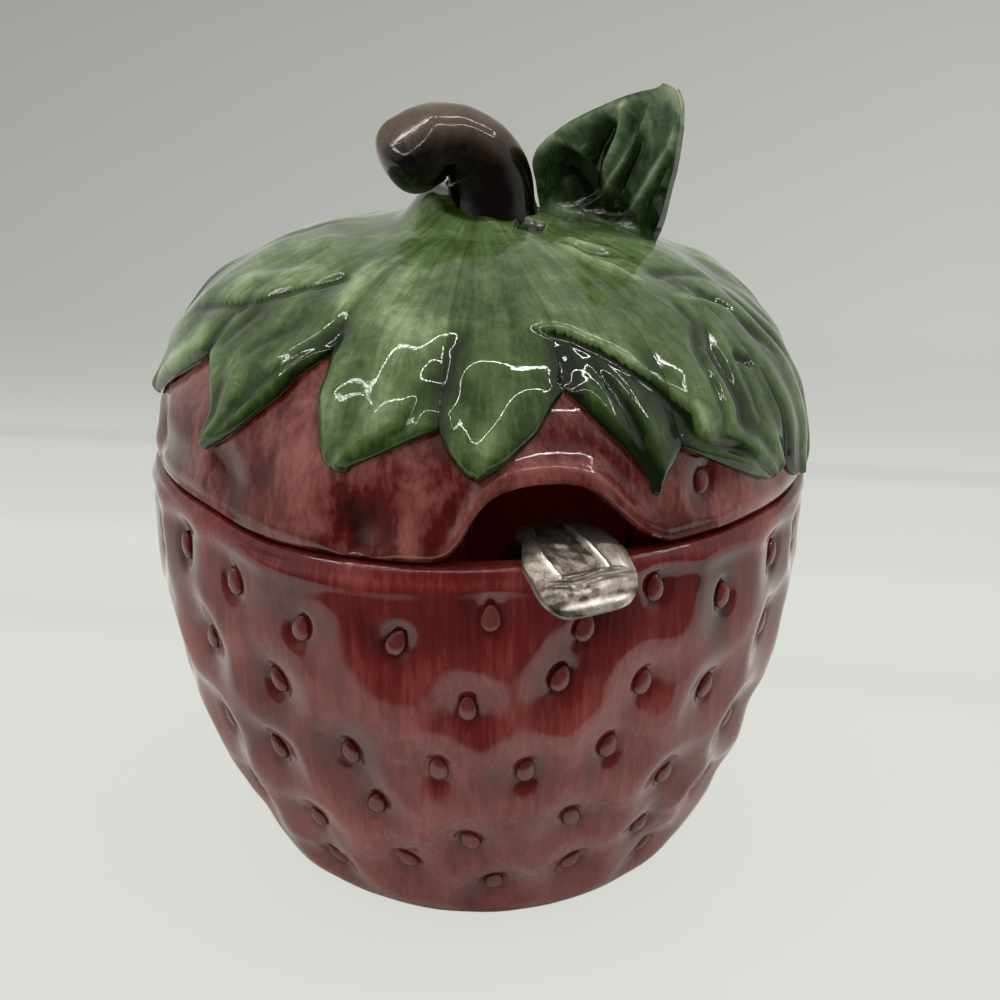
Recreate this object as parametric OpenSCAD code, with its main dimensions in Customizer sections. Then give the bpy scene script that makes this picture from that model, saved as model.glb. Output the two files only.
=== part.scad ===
// Strawberry jam pot: an earthenware pot and lid with a calyx of leaves, a bent
// stem for a knob, one leaf standing up, and a metal spoon hooked over the rim.
// Millimetres, +Z up. The origin is the middle of the foot, where the pot stands.
// The spoon notch faces -Y, and angles round the pot run from it towards +X.

/* [Pot] */
// Height of the pot from the table to its rim
pot_h = 69; // [66:0.5:74]
// Widest outside radius of the pot
pot_r = 52.3; // [50:0.1:56]
// Height at which the pot is widest
belly_h = 64; // [62:0.5:66]
// Radius of the long curve of the pot's side
belly_r = 103.3; // [98:0.5:110]
// Radius of the curve from the side in to the foot
foot_round = 12; // [10:0.5:14]
// Thickness of the pot's wall
pot_wall = 4.2; // [3.4:0.1:5]
// Thickness of the pot's floor above the recess
floor_t = 4; // [3:0.1:5]
// Width of the ring that stands on the table
foot_ring_w = 5; // [3:0.5:8]
// Depth of the recess under the foot
foot_recess = 1.2; // [0.6:0.1:1.5]
// Rounding of the rim's edges
rim_round = 1.2; // [0.6:0.1:1.5]

/* [Seeds] */
// Half the length of a seed
seed_half_l = 3; // [2.4:0.1:3.6]
// Radius of a seed's section
seed_r = 1.8; // [1.4:0.1:2.2]
// How far a seed stands above the bottom of its hollow
seed_proud = 0.9; // [0.6:0.1:1.2]
// Radius of the ball that presses each hollow
hollow_ball_r = 12; // [9:0.5:15]
// Depth of each hollow
hollow_depth = 1.3; // [1:0.1:1.6]

/* [Lid] */
// How far the lid's widest part stands in from the pot's
lid_inset = 0.5; // [0:0.1:1]
// Radius of the curve over the top of the lid
lid_dome_r = 82.3; // [76:0.5:90]
// Radius of the curve round the lid's shoulder
lid_shoulder_r = 29.4; // [27:0.2:31]
// Height above its seat at which the lid is widest
lid_wide_h = 2.2; // [1:0.2:3]
// Thickness of the lid's wall
lid_wall = 4.2; // [3.6:0.1:4.8]
// Gap between the lid and the rim it rests on
seat_gap = 0.3; // [0.2:0.1:0.5]
// Gap all round between the flange and the pot's inside
flange_gap = 1.2; // [0.8:0.1:2]
// Thickness of the locating flange and of the land it hangs from
flange_t = 3.2; // [2.4:0.1:4]
// Depth of the flange below the seat
flange_h = 5; // [3:0.5:7]
// Radius of the spoon notch's arch
notch_r = 12; // [11.5:0.5:14]
// Radius of the flare at the notch's lower corners
notch_flare_r = 3; // [1:0.5:4]

/* [Calyx] */
// Thickness of a leaf at its middle
leaf_t = 1.9; // [1.5:0.1:2.4]
// Gap between neighbouring leaves
leaf_gap = 0.5; // [0.3:0.1:0.8]
// Bed of slip between a leaf and what it is laid on
lute = 0.2; // [0.1:0.05:0.3]
// Radius of the crown under the stem
crown_r = 13.5; // [12:0.5:15]
// Height of the crown above the top of the lid
crown_h = 3.2; // [2.6:0.1:4.2]
// Radius of the flat on the crown that carries the stem
crown_top_r = 8.8; // [8.5:0.1:9.5]

/* [Stem] */
// Radius of the stem where it joins the crown
stem_root_r = 6.4; // [5.6:0.1:6.8]
// Radius of the stem at its bend
stem_bend_r = 5.3; // [4.8:0.1:5.8]
// Radius of the stem's round end
stem_end_r = 6.5; // [6:0.1:6.9]
// Height of the bend above the crown, at the middle of the stem
stem_rise = 11; // [10:0.5:12.5]
// Reach of the end from the root
stem_reach = 13; // [12:0.5:15]
// Distance of the root from the middle of the crown, away from the end
stem_offset = 2; // [1:0.1:2.2]

/* [Standing leaf] */
// Height of the standing leaf
standing_h = 25; // [22:0.5:27]
// Width of the standing leaf at its widest
standing_w = 27; // [24:0.5:29]
// Thickness of the standing leaf at its middle
standing_t = 3.2; // [2.6:0.1:3.6]
// Distance of the leaf's foot from the middle of the lid
standing_dist = 20; // [19.5:0.5:22]

/* [Spoon] */
// Length of the spoon's bowl
bowl_l = 34; // [30:1:36]
// Half the width of the spoon's bowl
bowl_half_w = 11.5; // [10:0.5:12]
// Depth of the spoon's bowl
bowl_depth = 5.5; // [4.5:0.5:6]
// Thickness of the metal in the bowl
bowl_t = 1.4; // [1.2:0.1:1.8]
// Height of the bowl's tip above the pot's floor
tip_lift = 1.4; // [1.2:0.1:3]
// Half the width of the shank
shank_half_w = 3.2; // [2.6:0.1:3.6]
// Thickness of the shank
shank_t = 2.6; // [2:0.1:2.8]
// Radius of the bend that ends at the crest over the rim
hook_bend_r = 12; // [10:0.5:13]
// Distance of the crest inside the rim
crest_inset = 1.5; // [1:0.1:2]
// Radius of the droop outside the rim
hook_droop_r = 15; // [14:0.5:18]
// Angle below level that the handle's end droops to
hook_droop = 60; // [54:1:64]
// Half the width of the handle's end
handle_half_w = 7.8; // [6.5:0.1:8]
// Thickness of the handle's end
handle_t = 2.4; // [2:0.1:2.8]
// Length of the rounding at the handle's end
handle_round = 4; // [3:0.5:5]
// Turn of the spoon to one side
spoon_yaw = 12; // [10:1:14]
// Gap between the handle and the rim it rests on
spoon_gap = 0.45; // [0.4:0.05:0.6]

/* [Hidden] */
first_leaf = 3;
$fn = 72;
// Overrun that carries a cut past the face it opens
cut = 1;

// Colours of the glazes and the metal
red_glaze = "#7d3a40";
green_glaze = "#3f5f33";
brown_glaze = "#4a3530";
spoon_metal = "#8c8a88";

// Seeds in one third of the pot: the angle, and the height as a share of pot_h.
// The same third is repeated three times round.
seed_repeats = 3;
seed_place_shares = [
    [-59.2, 0.87], [-44.7, 0.82], [-27.5, 0.823], [-12.3, 0.888], [3, 0.85], [15.3, 0.913],
    [30.6, 0.848], [46, 0.885],
    [-70.5, 0.69], [-52.5, 0.655], [-36, 0.58], [-16.1, 0.667], [-0.5, 0.728], [14.9, 0.688],
    [30.9, 0.616],
    [-74.2, 0.457], [-57.2, 0.455], [-39.5, 0.48], [-21.6, 0.499], [-5.6, 0.493], [10.2, 0.528],
    [27.2, 0.386],
    [-73.5, 0.275], [-52.7, 0.268], [-35.5, 0.364], [-16.2, 0.274], [5.6, 0.322], [27, 0.226],
    [-54, 0.135], [-31.5, 0.19], [-10.4, 0.12], [9.4, 0.155], [36, 0.12]
];
// Seeds on the lid: the angle, and the height above its seat as a share of lid_shoulder_r
lid_seed_shares = [
    [-90, 0.23], [-61, 0.22], [-33, 0.14], [26.5, 0.27], [75, 0.17], [98, 0.24], [124, 0.2],
    [150, 0.26], [177, 0.2], [203, 0.25], [228, 0.18], [251, 0.22]
];

// Leaves: the angle of the tip, its share of the way down the lid from the middle to
// the edge, and how its left and right edges run in to the tip: round below 0.6,
// straight at 1 and hollow above it
leaf_tip_shares = [
    [-97, 0.86, 0.7, 1], [-65.5, 0.869, 2.4, 0.8], [-36, 0.83, 0.35, 1.2], [-14.5, 0.832, 0.55, 0.72],
    [15, 0.89, 1.2, 1.05], [39.7, 0.925, 0.85, 0.5], [54, 0.965, 0.5, 0.6], [86, 0.9, 0.5, 1],
    [112, 0.86, 0.45, 0.8], [138, 0.91, 1.1, 0.6], [165, 0.85, 0.5, 0.9], [191, 0.89, 0.5, 1],
    [216, 0.86, 0.9, 0.4], [240, 0.9, 1, 0.6]
];
// Clefts, each between a tip and the next one: the angle, and the share of the way down
leaf_cleft_shares = [
    [-76, 0.674], [-45.3, 0.583], [-20.9, 0.735], [1.5, 0.656], [20.4, 0.804], [47, 0.905],
    [73, 0.74], [100, 0.68], [126, 0.73], [152, 0.64], [178, 0.7], [204, 0.66], [229, 0.7],
    [251, 0.68]
];
leaf_rows = 12;
leaf_columns = 6;
// Share of a leaf's thickness that is left along its edges
leaf_edge_share = 0.4;
// Share of a leaf's thickness that is gone at its tip
leaf_tip_thin_share = 0.45;
// Half the width that is left at a leaf's tip
leaf_blunt = 0.5;

// Pot: the side is one long arc, and a smaller arc inside it turns in to the foot
belly_x = pot_r - belly_r;
foot_r = belly_x + sqrt(pow(belly_r - foot_round, 2) - pow(belly_h - foot_round, 2));
foot_turn = atan2(belly_h - foot_round, foot_r - belly_x);
foot_top_r = belly_x + belly_r * cos(foot_turn);
foot_top_h = belly_h - belly_r * sin(foot_turn);
function arc_r(centre_r, centre_h, r, h) = centre_r + sqrt(r * r - (h - centre_h) * (h - centre_h));
function pot_radius(h) =
    h > foot_top_h ? arc_r(belly_x, belly_h, belly_r, h) : arc_r(foot_r, foot_round, foot_round, h);
function pot_lean(h) =
    h > foot_top_h ? asin((h - belly_h) / belly_r) : asin((h - foot_round) / foot_round);
mouth_r = arc_r(belly_x, belly_h, belly_r - pot_wall, pot_h);
rim_r = pot_radius(pot_h - rim_round);

// Lid: one arc over the top, meeting a smaller arc round the shoulder
seat_z = pot_h + seat_gap;
lid_r = pot_r - lid_inset;
shoulder_x = lid_r - lid_shoulder_r;
shoulder_z = seat_z + lid_wide_h;
dome_turn = asin(shoulder_x / (lid_dome_r - lid_shoulder_r));
dome_z = shoulder_z - (lid_dome_r - lid_shoulder_r) * cos(dome_turn);
lid_top_z = dome_z + lid_dome_r;
dome_way = lid_dome_r * dome_turn * PI / 180;
lid_way = dome_way + lid_shoulder_r * (90 - dome_turn + asin(lid_wide_h / lid_shoulder_r)) * PI / 180;
// Angle above level that the lid's surface faces, s down its side from the middle
function lid_lean(s) =
    s < dome_way ? 90 - s / lid_dome_r * 180 / PI
    : 90 - dome_turn - (s - dome_way) / lid_shoulder_r * 180 / PI;
// Radius and height of a point that stands h off the lid, s down its side
function off_lid(s, h) =
    (s < dome_way ? [0, dome_z] : [shoulder_x, shoulder_z])
    + ((s < dome_way ? lid_dome_r : lid_shoulder_r) + h) * [cos(lid_lean(s)), sin(lid_lean(s))];
function lid_height(r) =
    r < shoulder_x + lid_shoulder_r * sin(dome_turn)
        ? dome_z + sqrt(lid_dome_r * lid_dome_r - r * r)
        : shoulder_z + sqrt(lid_shoulder_r * lid_shoulder_r - (r - shoulder_x) * (r - shoulder_x));
function turned(point, angle) = [point[0] * sin(angle), -point[0] * cos(angle), point[1]];

// A smooth curve through points: each span is cut in steps
function between(a, b, c, d, t) =
    0.5 * (2 * b + (c - a) * t + (2 * a - 5 * b + 4 * c - d) * t * t
        + (3 * b - a - 3 * c + d) * t * t * t);
function curve(points, steps) = [
    for (i = [0 : len(points) - 2], j = [0 : steps - 1])
        between(
            i == 0 ? 2 * points[0] - points[1] : points[i - 1], points[i], points[i + 1],
            i + 2 < len(points) ? points[i + 2] : 2 * points[i + 1] - points[i], j / steps
        ),
    points[len(points) - 1]
];

// A closed sheet between two grids of points of the same size
module sheet(top, bottom) {
    rows = len(top);
    columns = len(top[0]);
    half = rows * columns;
    function at(i, j) = i * columns + j;
    over = [for (i = [0 : rows - 2], j = [0 : columns - 2]) each [
        [at(i, j), at(i + 1, j), at(i + 1, j + 1)],
        [at(i, j), at(i + 1, j + 1), at(i, j + 1)]
    ]];
    under = [for (f = over) [f[2] + half, f[1] + half, f[0] + half]];
    border = concat(
        [for (j = [0 : columns - 1]) at(0, j)],
        [for (i = [1 : rows - 1]) at(i, columns - 1)],
        [for (j = [columns - 2 : -1 : 0]) at(rows - 1, j)],
        [for (i = [rows - 2 : -1 : 1]) at(i, 0)]
    );
    n = len(border);
    edge = [for (k = [0 : n - 1]) each [
        [border[k], border[(k + 1) % n], border[(k + 1) % n] + half],
        [border[k], border[(k + 1) % n] + half, border[k] + half]
    ]];
    points = [for (side = [top, bottom], row = side, p = row) p];
    polyhedron(points, concat(over, under, edge), convexity = 8);
}

// One seed lying along Z: a short bar with round ends
module seed() {
    rotate_extrude() intersection() {
        union() {
            for (end = [-1, 1])
                translate([0, end * (seed_half_l - seed_r)]) circle(seed_r);
            square([2 * seed_r, 2 * (seed_half_l - seed_r)], center = true);
        }
        translate([0, -seed_half_l]) square([seed_r, 2 * seed_half_l]);
    }
}
module hollow() {
    translate([hollow_ball_r - hollow_depth, 0, 0]) sphere(hollow_ball_r);
}
module raised_seed() {
    translate([seed_proud - hollow_depth - seed_r, 0, 0]) seed();
}
// Children stand on a wall, with +X outwards and +Z up the wall
module on_wall(angle, r, z, lean) {
    rotate([0, 0, angle - 90]) translate([r, 0, z]) rotate([0, -lean, 0]) children();
}
module pot_places() {
    for (turn = [0 : seed_repeats - 1], place = seed_place_shares) {
        h = place[1] * pot_h;
        on_wall(place[0] + turn * 360 / seed_repeats, pot_radius(h), h, pot_lean(h)) children();
    }
}
module lid_places() {
    for (place = lid_seed_shares) {
        rise = place[1] * lid_shoulder_r - lid_wide_h;
        r = arc_r(shoulder_x, 0, lid_shoulder_r, rise);
        on_wall(place[0], r, shoulder_z + rise, asin(rise / lid_shoulder_r)) children();
    }
}

// The pot: wall, rim, floor and foot in one, pressed with hollows that hold seeds
module pot_outline() {
    side_h = pot_h - rim_round;
    intersection() {
        translate([belly_x, belly_h]) circle(belly_r);
        polygon([[0, foot_top_h], [pot_r, foot_top_h], [pot_r + rim_round, side_h], [0, side_h]]);
    }
    intersection() {
        translate([foot_r, foot_round]) circle(foot_round);
        square([pot_r, foot_round]);
    }
    square([foot_r, foot_round]);
    for (r = [mouth_r + rim_round, rim_r - rim_round])
        translate([r, side_h]) circle(rim_round);
    translate([mouth_r + rim_round, side_h - rim_round])
        square([rim_r - mouth_r - 2 * rim_round, 2 * rim_round]);
}
module pot_cavity() {
    intersection() {
        translate([belly_x, belly_h]) circle(belly_r - pot_wall);
        translate([0, foot_recess + floor_t]) square([pot_r, pot_h - rim_round - foot_recess - floor_t]);
    }
    translate([-cut, foot_recess + floor_t]) square([2 * cut, pot_h]);
    translate([0, pot_h - 2 * rim_round]) square([mouth_r, 2 * rim_round + cut]);
}
module pot() {
    color(red_glaze) {
        difference() {
            rotate_extrude() difference() {
                pot_outline();
                pot_cavity();
                translate([-cut, -cut]) square([foot_r - foot_ring_w + cut, foot_recess + cut]);
            }
            pot_places() hollow();
        }
        pot_places() raised_seed();
    }
}

// The lid: a domed shell with a land that sits on the rim, a flange that drops
// inside the pot, and an arched notch for the spoon
flange_out_r = mouth_r - flange_gap;
flange_in_r = flange_out_r - flange_t;
module dome(inset) {
    intersection() {
        translate([0, dome_z]) circle(lid_dome_r - inset);
        translate([0, seat_z]) square([(lid_dome_r - inset) * sin(dome_turn), lid_dome_r]);
    }
    intersection() {
        translate([shoulder_x, shoulder_z]) circle(lid_shoulder_r - inset);
        translate([0, seat_z]) square([lid_r, lid_dome_r]);
    }
}
module lid_outline() {
    difference() {
        dome(0);
        intersection() {
            dome(lid_wall);
            translate([0, seat_z + flange_t]) square([lid_r, lid_dome_r]);
        }
        translate([-cut, seat_z - cut]) square([flange_in_r + cut, flange_t + 2 * cut]);
    }
    translate([flange_in_r, seat_z - flange_h]) square([flange_t, flange_h + flange_t]);
}
module spoon_notch() {
    foot_w = notch_r + notch_flare_r;
    translate([0, 0, seat_z]) rotate([90, 0, 0]) linear_extrude(height = lid_r + cut) {
        circle(notch_r);
        translate([-notch_r, -flange_h - cut]) square([2 * notch_r, flange_h + cut]);
        difference() {
            translate([-foot_w, -flange_h - cut]) square([2 * foot_w, flange_h + cut + notch_flare_r]);
            for (side = [-1, 1])
                translate([side * foot_w, notch_flare_r]) circle(notch_flare_r);
        }
    }
}
module lid() {
    color(red_glaze) difference() {
        union() {
            difference() {
                rotate_extrude() lid_outline();
                lid_places() hollow();
            }
            lid_places() raised_seed();
        }
        spoon_notch();
    }
}

// The crown: a flared boss at the middle of the calyx, flat on top for the stem
crown_z = lid_top_z + crown_h;
crown_bands = 5;
module crown_outline() {
    drop = crown_z - lid_height(crown_r) - lute - leaf_t;
    polygon(concat(
        [[0, crown_z]],
        [for (i = [0 : crown_bands]) let (share = i / crown_bands)
            [crown_top_r + (crown_r - crown_top_r) * share, crown_z - drop * (2 * share - share * share)]],
        [for (i = [crown_bands : -1 : 0]) let (r = crown_r * i / crown_bands) [r, lid_height(r) + lute]]
    ));
}
module calyx_crown() {
    color(green_glaze) rotate_extrude() crown_outline();
}

// One leaf pressed from clay and laid on the lid, from the crown to its tip. Its two
// edges run down beside its neighbours to the clefts, and from there in to the tip.
function leaf_edge(s, cleft, tip, side) =
    let (
        cleft_s = cleft[1] * lid_way,
        share = max(0, min(1, (s - cleft_s) / (tip[1] * lid_way - cleft_s))),
        spread = pow(1 - share, side > 0 ? tip[2] : tip[3]),
        degrees_per_mm = 180 / PI / off_lid(s, 0)[0],
        half = side * (tip[0] - cleft[0]) - leaf_gap / 2 * degrees_per_mm
    ) tip[0] - side * max(half * spread, leaf_blunt * degrees_per_mm);
module calyx_leaf(number) {
    tip = leaf_tip_shares[number];
    right = leaf_cleft_shares[number];
    last = leaf_cleft_shares[(number + len(leaf_cleft_shares) - 1) % len(leaf_cleft_shares)];
    left = number == 0 ? [last[0] - 360, last[1]] : last;
    start = crown_r + leaf_gap;
    reach = tip[1] * lid_way - start;
    // The rows stop just short of the tip, which leaves it a blunt edge
    function row_way(i) = start + reach * sin(89 * i / leaf_rows);
    function grid(raised) = [
        for (i = [0 : leaf_rows]) let (
            s = row_way(i),
            a = leaf_edge(s, left, tip, 1),
            b = leaf_edge(s, right, tip, -1)
        ) [
            for (j = [0 : leaf_columns]) let (across = 2 * j / leaf_columns - 1)
                turned(
                    off_lid(s, lute + raised * leaf_t * (1 - leaf_tip_thin_share * pow(i / leaf_rows, 2))
                        * (1 - (1 - leaf_edge_share) * across * across)),
                    a + (b - a) * j / leaf_columns
                )
        ]
    ];
    color(green_glaze) sheet(grid(1), grid(0));
}

// The stem: a thick bent bar with a round end that hangs over the lid
stem_turn = 181; // direction of the stem's end, from +X
stem_path_shares = [[0, 0], [0.05, 0.38], [0.21, 0.76], [0.5, 0.98], [0.78, 1], [1, 0.86]];
// Share of the stem's length at which it is thinnest
stem_bend_share = 0.6;
stem_steps = 3;
stem_sides = 16;
stem_cap_angles = [28, 52, 72, 86];
module stem_knob() {
    line = curve([for (p = stem_path_shares) [p[0] * stem_reach, p[1] * stem_rise]], stem_steps);
    last = len(line) - 1;
    function fat(share) =
        share < stem_bend_share
            ? stem_root_r + (stem_bend_r - stem_root_r) * share / stem_bend_share
            : stem_bend_r + (stem_end_r - stem_bend_r) * (share - stem_bend_share) / (1 - stem_bend_share);
    function heading(i) =
        i == 0 ? [0, 1] : let (along = line[min(i + 1, last)] - line[i - 1]) along / norm(along);
    function ring(p, along, r) = [
        for (k = [0 : stem_sides - 1]) let (turn = 360 * k / stem_sides)
            [p[0] + r * cos(turn) * along[1], r * sin(turn), p[1] - r * cos(turn) * along[0]]
    ];
    rings = concat(
        [for (i = [0 : last]) ring(line[i], heading(i), fat(i / last))],
        [for (a = stem_cap_angles)
            ring(line[last] + stem_end_r * sin(a) * heading(last), heading(last), stem_end_r * cos(a))]
    );
    n = stem_sides;
    faces = concat(
        [[for (k = [0 : n - 1]) k]],
        [for (i = [0 : len(rings) - 2], k = [0 : n - 1]) let (next = (k + 1) % n) each [
            [i * n + k, (i + 1) * n + k, (i + 1) * n + next],
            [i * n + k, (i + 1) * n + next, i * n + next]
        ]],
        [[for (k = [n - 1 : -1 : 0]) (len(rings) - 1) * n + k]]
    );
    color(brown_glaze) translate([0, 0, crown_z + lute]) rotate([0, 0, stem_turn])
        translate([-stem_offset, 0, 0]) polyhedron([for (r = rings, p = r) p], faces, convexity = 6);
}

// The standing leaf: turned up behind the stem, folded along ribs that run to its tip
standing_angle = 93.5; // where its foot stands
standing_facing = 131; // where its back faces
standing_rows = 10;
standing_columns = 12;
standing_folds = 3;
// Height, then how far the leaf reaches on one side and the other, as shares of half
// its width: the tip leans over one side
standing_edge_shares = [
    [0, -0.8, 0.72], [0.16, -0.87, 0.84], [0.31, -0.9, 0.9], [0.42, -0.76, 0.95], [0.5, -0.57, 0.99],
    [0.62, -0.27, 1.04], [0.77, 0.16, 1.08], [0.88, 0.5, 1.08], [0.95, 0.74, 1.06], [1, 0.84, 1]
];
// How far the sides curl forward and the folds stand out, as shares of its thickness
standing_curl_share = 0.9;
standing_fold_share = 0.28;
// Shares of its thickness and folds that are gone at its sides and at its tip
standing_side_thin_share = 0.5;
standing_tip_thin_share = 0.55;
module standing_leaf() {
    foot = standing_dist * [sin(standing_angle), -cos(standing_angle)];
    back = [sin(standing_facing), -cos(standing_facing)];
    side = [back[1], -back[0]];
    edges = curve(standing_edge_shares, 2);
    function reach(u, column) = lookup(u, [for (e = edges) [e[0], e[column]]]) * standing_w / 2;
    function place(u, v, thick) = let (
        across = reach(u, 1) + (reach(u, 2) - reach(u, 1)) * (v + 1) / 2,
        fade = 1 - standing_tip_thin_share * u,
        thin = (1 - standing_side_thin_share * v * v) * fade,
        out = standing_t * (thick * thin - standing_curl_share * v * v
            + standing_fold_share * cos(180 * standing_folds * v) * fade),
        spot = foot + side * across + back * out
    ) [spot[0], spot[1], lid_height(norm(spot)) + 2 * lute + leaf_t + u * standing_h];
    function grid(thick) = [
        for (i = [0 : standing_rows]) [
            for (j = [0 : standing_columns])
                place(i / standing_rows, 2 * j / standing_columns - 1, thick)
        ]
    ];
    color(green_glaze) sheet(grid(0), grid(1));
}

// The spoon: bowl, shank and a broad end bent over the rim, all one piece of metal.
// Its middle line lies in an upright plane and runs from the bowl's tip, at 0.
// The crest stands just inside the rim, high enough for the droop to clear the rim's
// outer edge, and the bowl's tip is just off the floor, past the middle, so the slope
// and length of the shank follow the pot.
crest_r = mouth_r + rim_round / 2 - crest_inset;
rim_run = (rim_r - rim_round - crest_r) / cos(spoon_yaw);
droop_under_r = hook_droop_r - (shank_t + handle_t) / 4;
crest_z = pot_h + spoon_gap + hook_droop_r - sqrt(droop_under_r * droop_under_r - rim_run * rim_run);
tip_reach_share = 0.847; // how far past the middle, as a share of the foot's radius
tip_run = crest_r + tip_reach_share * foot_r;
tip_drop = crest_z - hook_bend_r - foot_recess - floor_t - tip_lift;
straight_l = sqrt(tip_run * tip_run + tip_drop * tip_drop - hook_bend_r * hook_bend_r);
shank_angle = atan2(hook_bend_r, straight_l) + atan2(tip_drop, tip_run);
crest_l = straight_l + hook_bend_r * shank_angle * PI / 180;
spoon_l = crest_l + hook_droop_r * hook_droop * PI / 180;
spoon_columns = 6;
bowl_steps = 13;
shank_steps = 3;
bend_steps = 4;
droop_steps = 6;
end_steps = 3;
spoon_stations = concat(
    [for (i = [0 : bowl_steps]) bowl_l * i / bowl_steps],
    [for (i = [1 : shank_steps]) bowl_l + (straight_l - bowl_l) * i / shank_steps],
    [for (i = [1 : bend_steps]) straight_l + (crest_l - straight_l) * i / bend_steps],
    [for (i = [1 : droop_steps]) crest_l + (spoon_l - handle_round - crest_l) * i / droop_steps],
    [for (i = [1 : end_steps]) spoon_l - handle_round + handle_round * sin(90 * i / end_steps)]
);
// The bowl is widest nearer its tip, and blunt; its sides are nearly straight at the middle
bowl_shift_power = 0.85;
bowl_blunt_power = 0.62;
// Share of the shank's width at the bowl's tip, of the handle's width at its rounded
// end, and of the thickness that is gone at the edges
bowl_tip_share = 0.25;
handle_corner_share = 0.55;
spoon_edge_thin_share = 0.5;
function spoon_heading(s) =
    s < straight_l ? shank_angle
    : s < crest_l ? (crest_l - s) / hook_bend_r * 180 / PI
    : (crest_l - s) / hook_droop_r * 180 / PI;
// Distance forward of the crest, and height above it
function spoon_line(s) =
    let (a = spoon_heading(s), past = max(0, straight_l - s))
        s < crest_l ? -hook_bend_r * [sin(a), 1 - cos(a)] - past * [cos(a), sin(a)]
        : hook_droop_r * [-sin(a), cos(a) - 1];
function ease(share) = (1 - cos(180 * max(0, min(1, share)))) / 2;
function spoon_half_w(s) =
    let (
        x = s / bowl_l,
        bowl = bowl_half_w * pow(max(0, sin(180 * pow(x, bowl_shift_power))), bowl_blunt_power),
        handle = shank_half_w
            + (handle_half_w - shank_half_w) * ease((s - straight_l) / (spoon_l - handle_round - straight_l)),
        gone = max(0, 1 - (spoon_l - s) / handle_round)
    )
    x < 1 ? max(bowl, shank_half_w * (bowl_tip_share + (1 - bowl_tip_share) * x))
    : gone > 0 ? handle_half_w * (handle_corner_share + (1 - handle_corner_share) * sqrt(1 - gone * gone))
    : handle;
function spoon_thickness(s) =
    s < bowl_l ? bowl_t + (shank_t - bowl_t) * pow(s / bowl_l, 3)
    : shank_t + (handle_t - shank_t) * max(0, s - straight_l) / (spoon_l - straight_l);
function spoon_dip(s, across) =
    s < bowl_l ? bowl_depth * (1 - across * across) * pow(max(0, sin(180 * s / bowl_l)), 0.8) : 0;
module spoon() {
    function grid(side) = [
        for (s = spoon_stations) let (a = spoon_heading(s), p = spoon_line(s)) [
            for (j = [0 : spoon_columns]) let (
                across = 2 * j / spoon_columns - 1,
                thin = 1 - spoon_edge_thin_share * across * across,
                h = side * spoon_thickness(s) / 2 * thin - spoon_dip(s, across)
            ) [across * spoon_half_w(s), h * sin(a) - p[0], p[1] + h * cos(a)]
        ]
    ];
    color(spoon_metal) translate([0, -crest_r, crest_z]) rotate([0, 0, spoon_yaw])
        sheet(grid(-1), grid(1));
}

pot();
lid();
calyx_crown();
for (number = [0 : len(leaf_tip_shares) - 1])
    calyx_leaf(number);
stem_knob();
standing_leaf();
spoon();
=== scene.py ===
import math

import bpy
import numpy as np
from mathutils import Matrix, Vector


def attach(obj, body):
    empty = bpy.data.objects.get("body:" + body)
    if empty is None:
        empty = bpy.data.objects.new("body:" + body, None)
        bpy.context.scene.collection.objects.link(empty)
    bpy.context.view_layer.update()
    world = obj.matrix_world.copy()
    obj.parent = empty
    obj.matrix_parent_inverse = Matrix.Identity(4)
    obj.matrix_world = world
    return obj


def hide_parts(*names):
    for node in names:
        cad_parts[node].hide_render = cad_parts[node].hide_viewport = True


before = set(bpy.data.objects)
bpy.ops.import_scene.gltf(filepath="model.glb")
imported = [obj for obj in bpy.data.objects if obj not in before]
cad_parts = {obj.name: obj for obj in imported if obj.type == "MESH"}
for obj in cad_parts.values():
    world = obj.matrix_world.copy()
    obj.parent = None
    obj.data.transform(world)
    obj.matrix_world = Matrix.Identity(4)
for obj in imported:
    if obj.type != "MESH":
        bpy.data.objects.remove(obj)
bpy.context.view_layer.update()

scene = bpy.context.scene


# Camera: where the photographer stood, a little above the lid and to the left of
# the spoon, with a long lens.
def put_in(name, data):
    thing = bpy.data.objects.new(name, data)
    scene.collection.objects.link(thing)
    return thing


aim = Vector((0, 0, 0.06))
camera_angle, camera_height, camera_distance = math.radians(-14), math.radians(20), 0.33
camera_data = bpy.data.cameras.new("camera")
camera_data.lens, camera_data.sensor_width = 72.25, 36
camera_data.shift_x, camera_data.shift_y = 0.02, 0.002
camera_data.clip_start, camera_data.clip_end = 0.01, 20
camera = put_in("camera", camera_data)
camera.location = aim + camera_distance * Vector((
    math.sin(camera_angle) * math.cos(camera_height),
    -math.cos(camera_angle) * math.cos(camera_height),
    math.sin(camera_height),
))
camera.rotation_euler = (aim - camera.location).to_track_quat("-Z", "Y").to_euler()
scene.camera = camera
scene.view_settings.view_transform = "Standard"


# Light box: a white table and white walls lit by a soft ceiling, with a frame of
# small lamps on it that the glaze shows as thin dotted lines. The front is open
# to a darker room.
def linear(hex_colour):
    parts = [int(hex_colour[i:i + 2], 16) / 255 for i in (1, 3, 5)]
    return [c / 12.92 if c <= 0.04045 else ((c + 0.055) / 1.055) ** 2.4 for c in parts] + [1]


def add_node(tree, kind, inputs={}, stops=(), **settings):
    """A node with its settings, the values or links of its inputs, and a colour ramp's stops."""
    node = tree.nodes.new(kind)
    for name, value in settings.items():
        setattr(node, name, value)
    for socket, value in inputs.items():
        if isinstance(value, bpy.types.Node):
            value = value.outputs[0]
        if isinstance(value, bpy.types.NodeSocket):
            tree.links.new(value, node.inputs[socket])
        else:
            node.inputs[socket].default_value = value
    for number, (position, colour) in enumerate(stops):
        elements = node.color_ramp.elements
        element = elements[number] if number < 2 else elements.new(position)
        element.position, element.color = position, linear(colour)
    return node


def new_material(name):
    material = bpy.data.materials.new(name)
    material.use_nodes = True
    material.node_tree.nodes.clear()
    return material, material.node_tree


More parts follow.
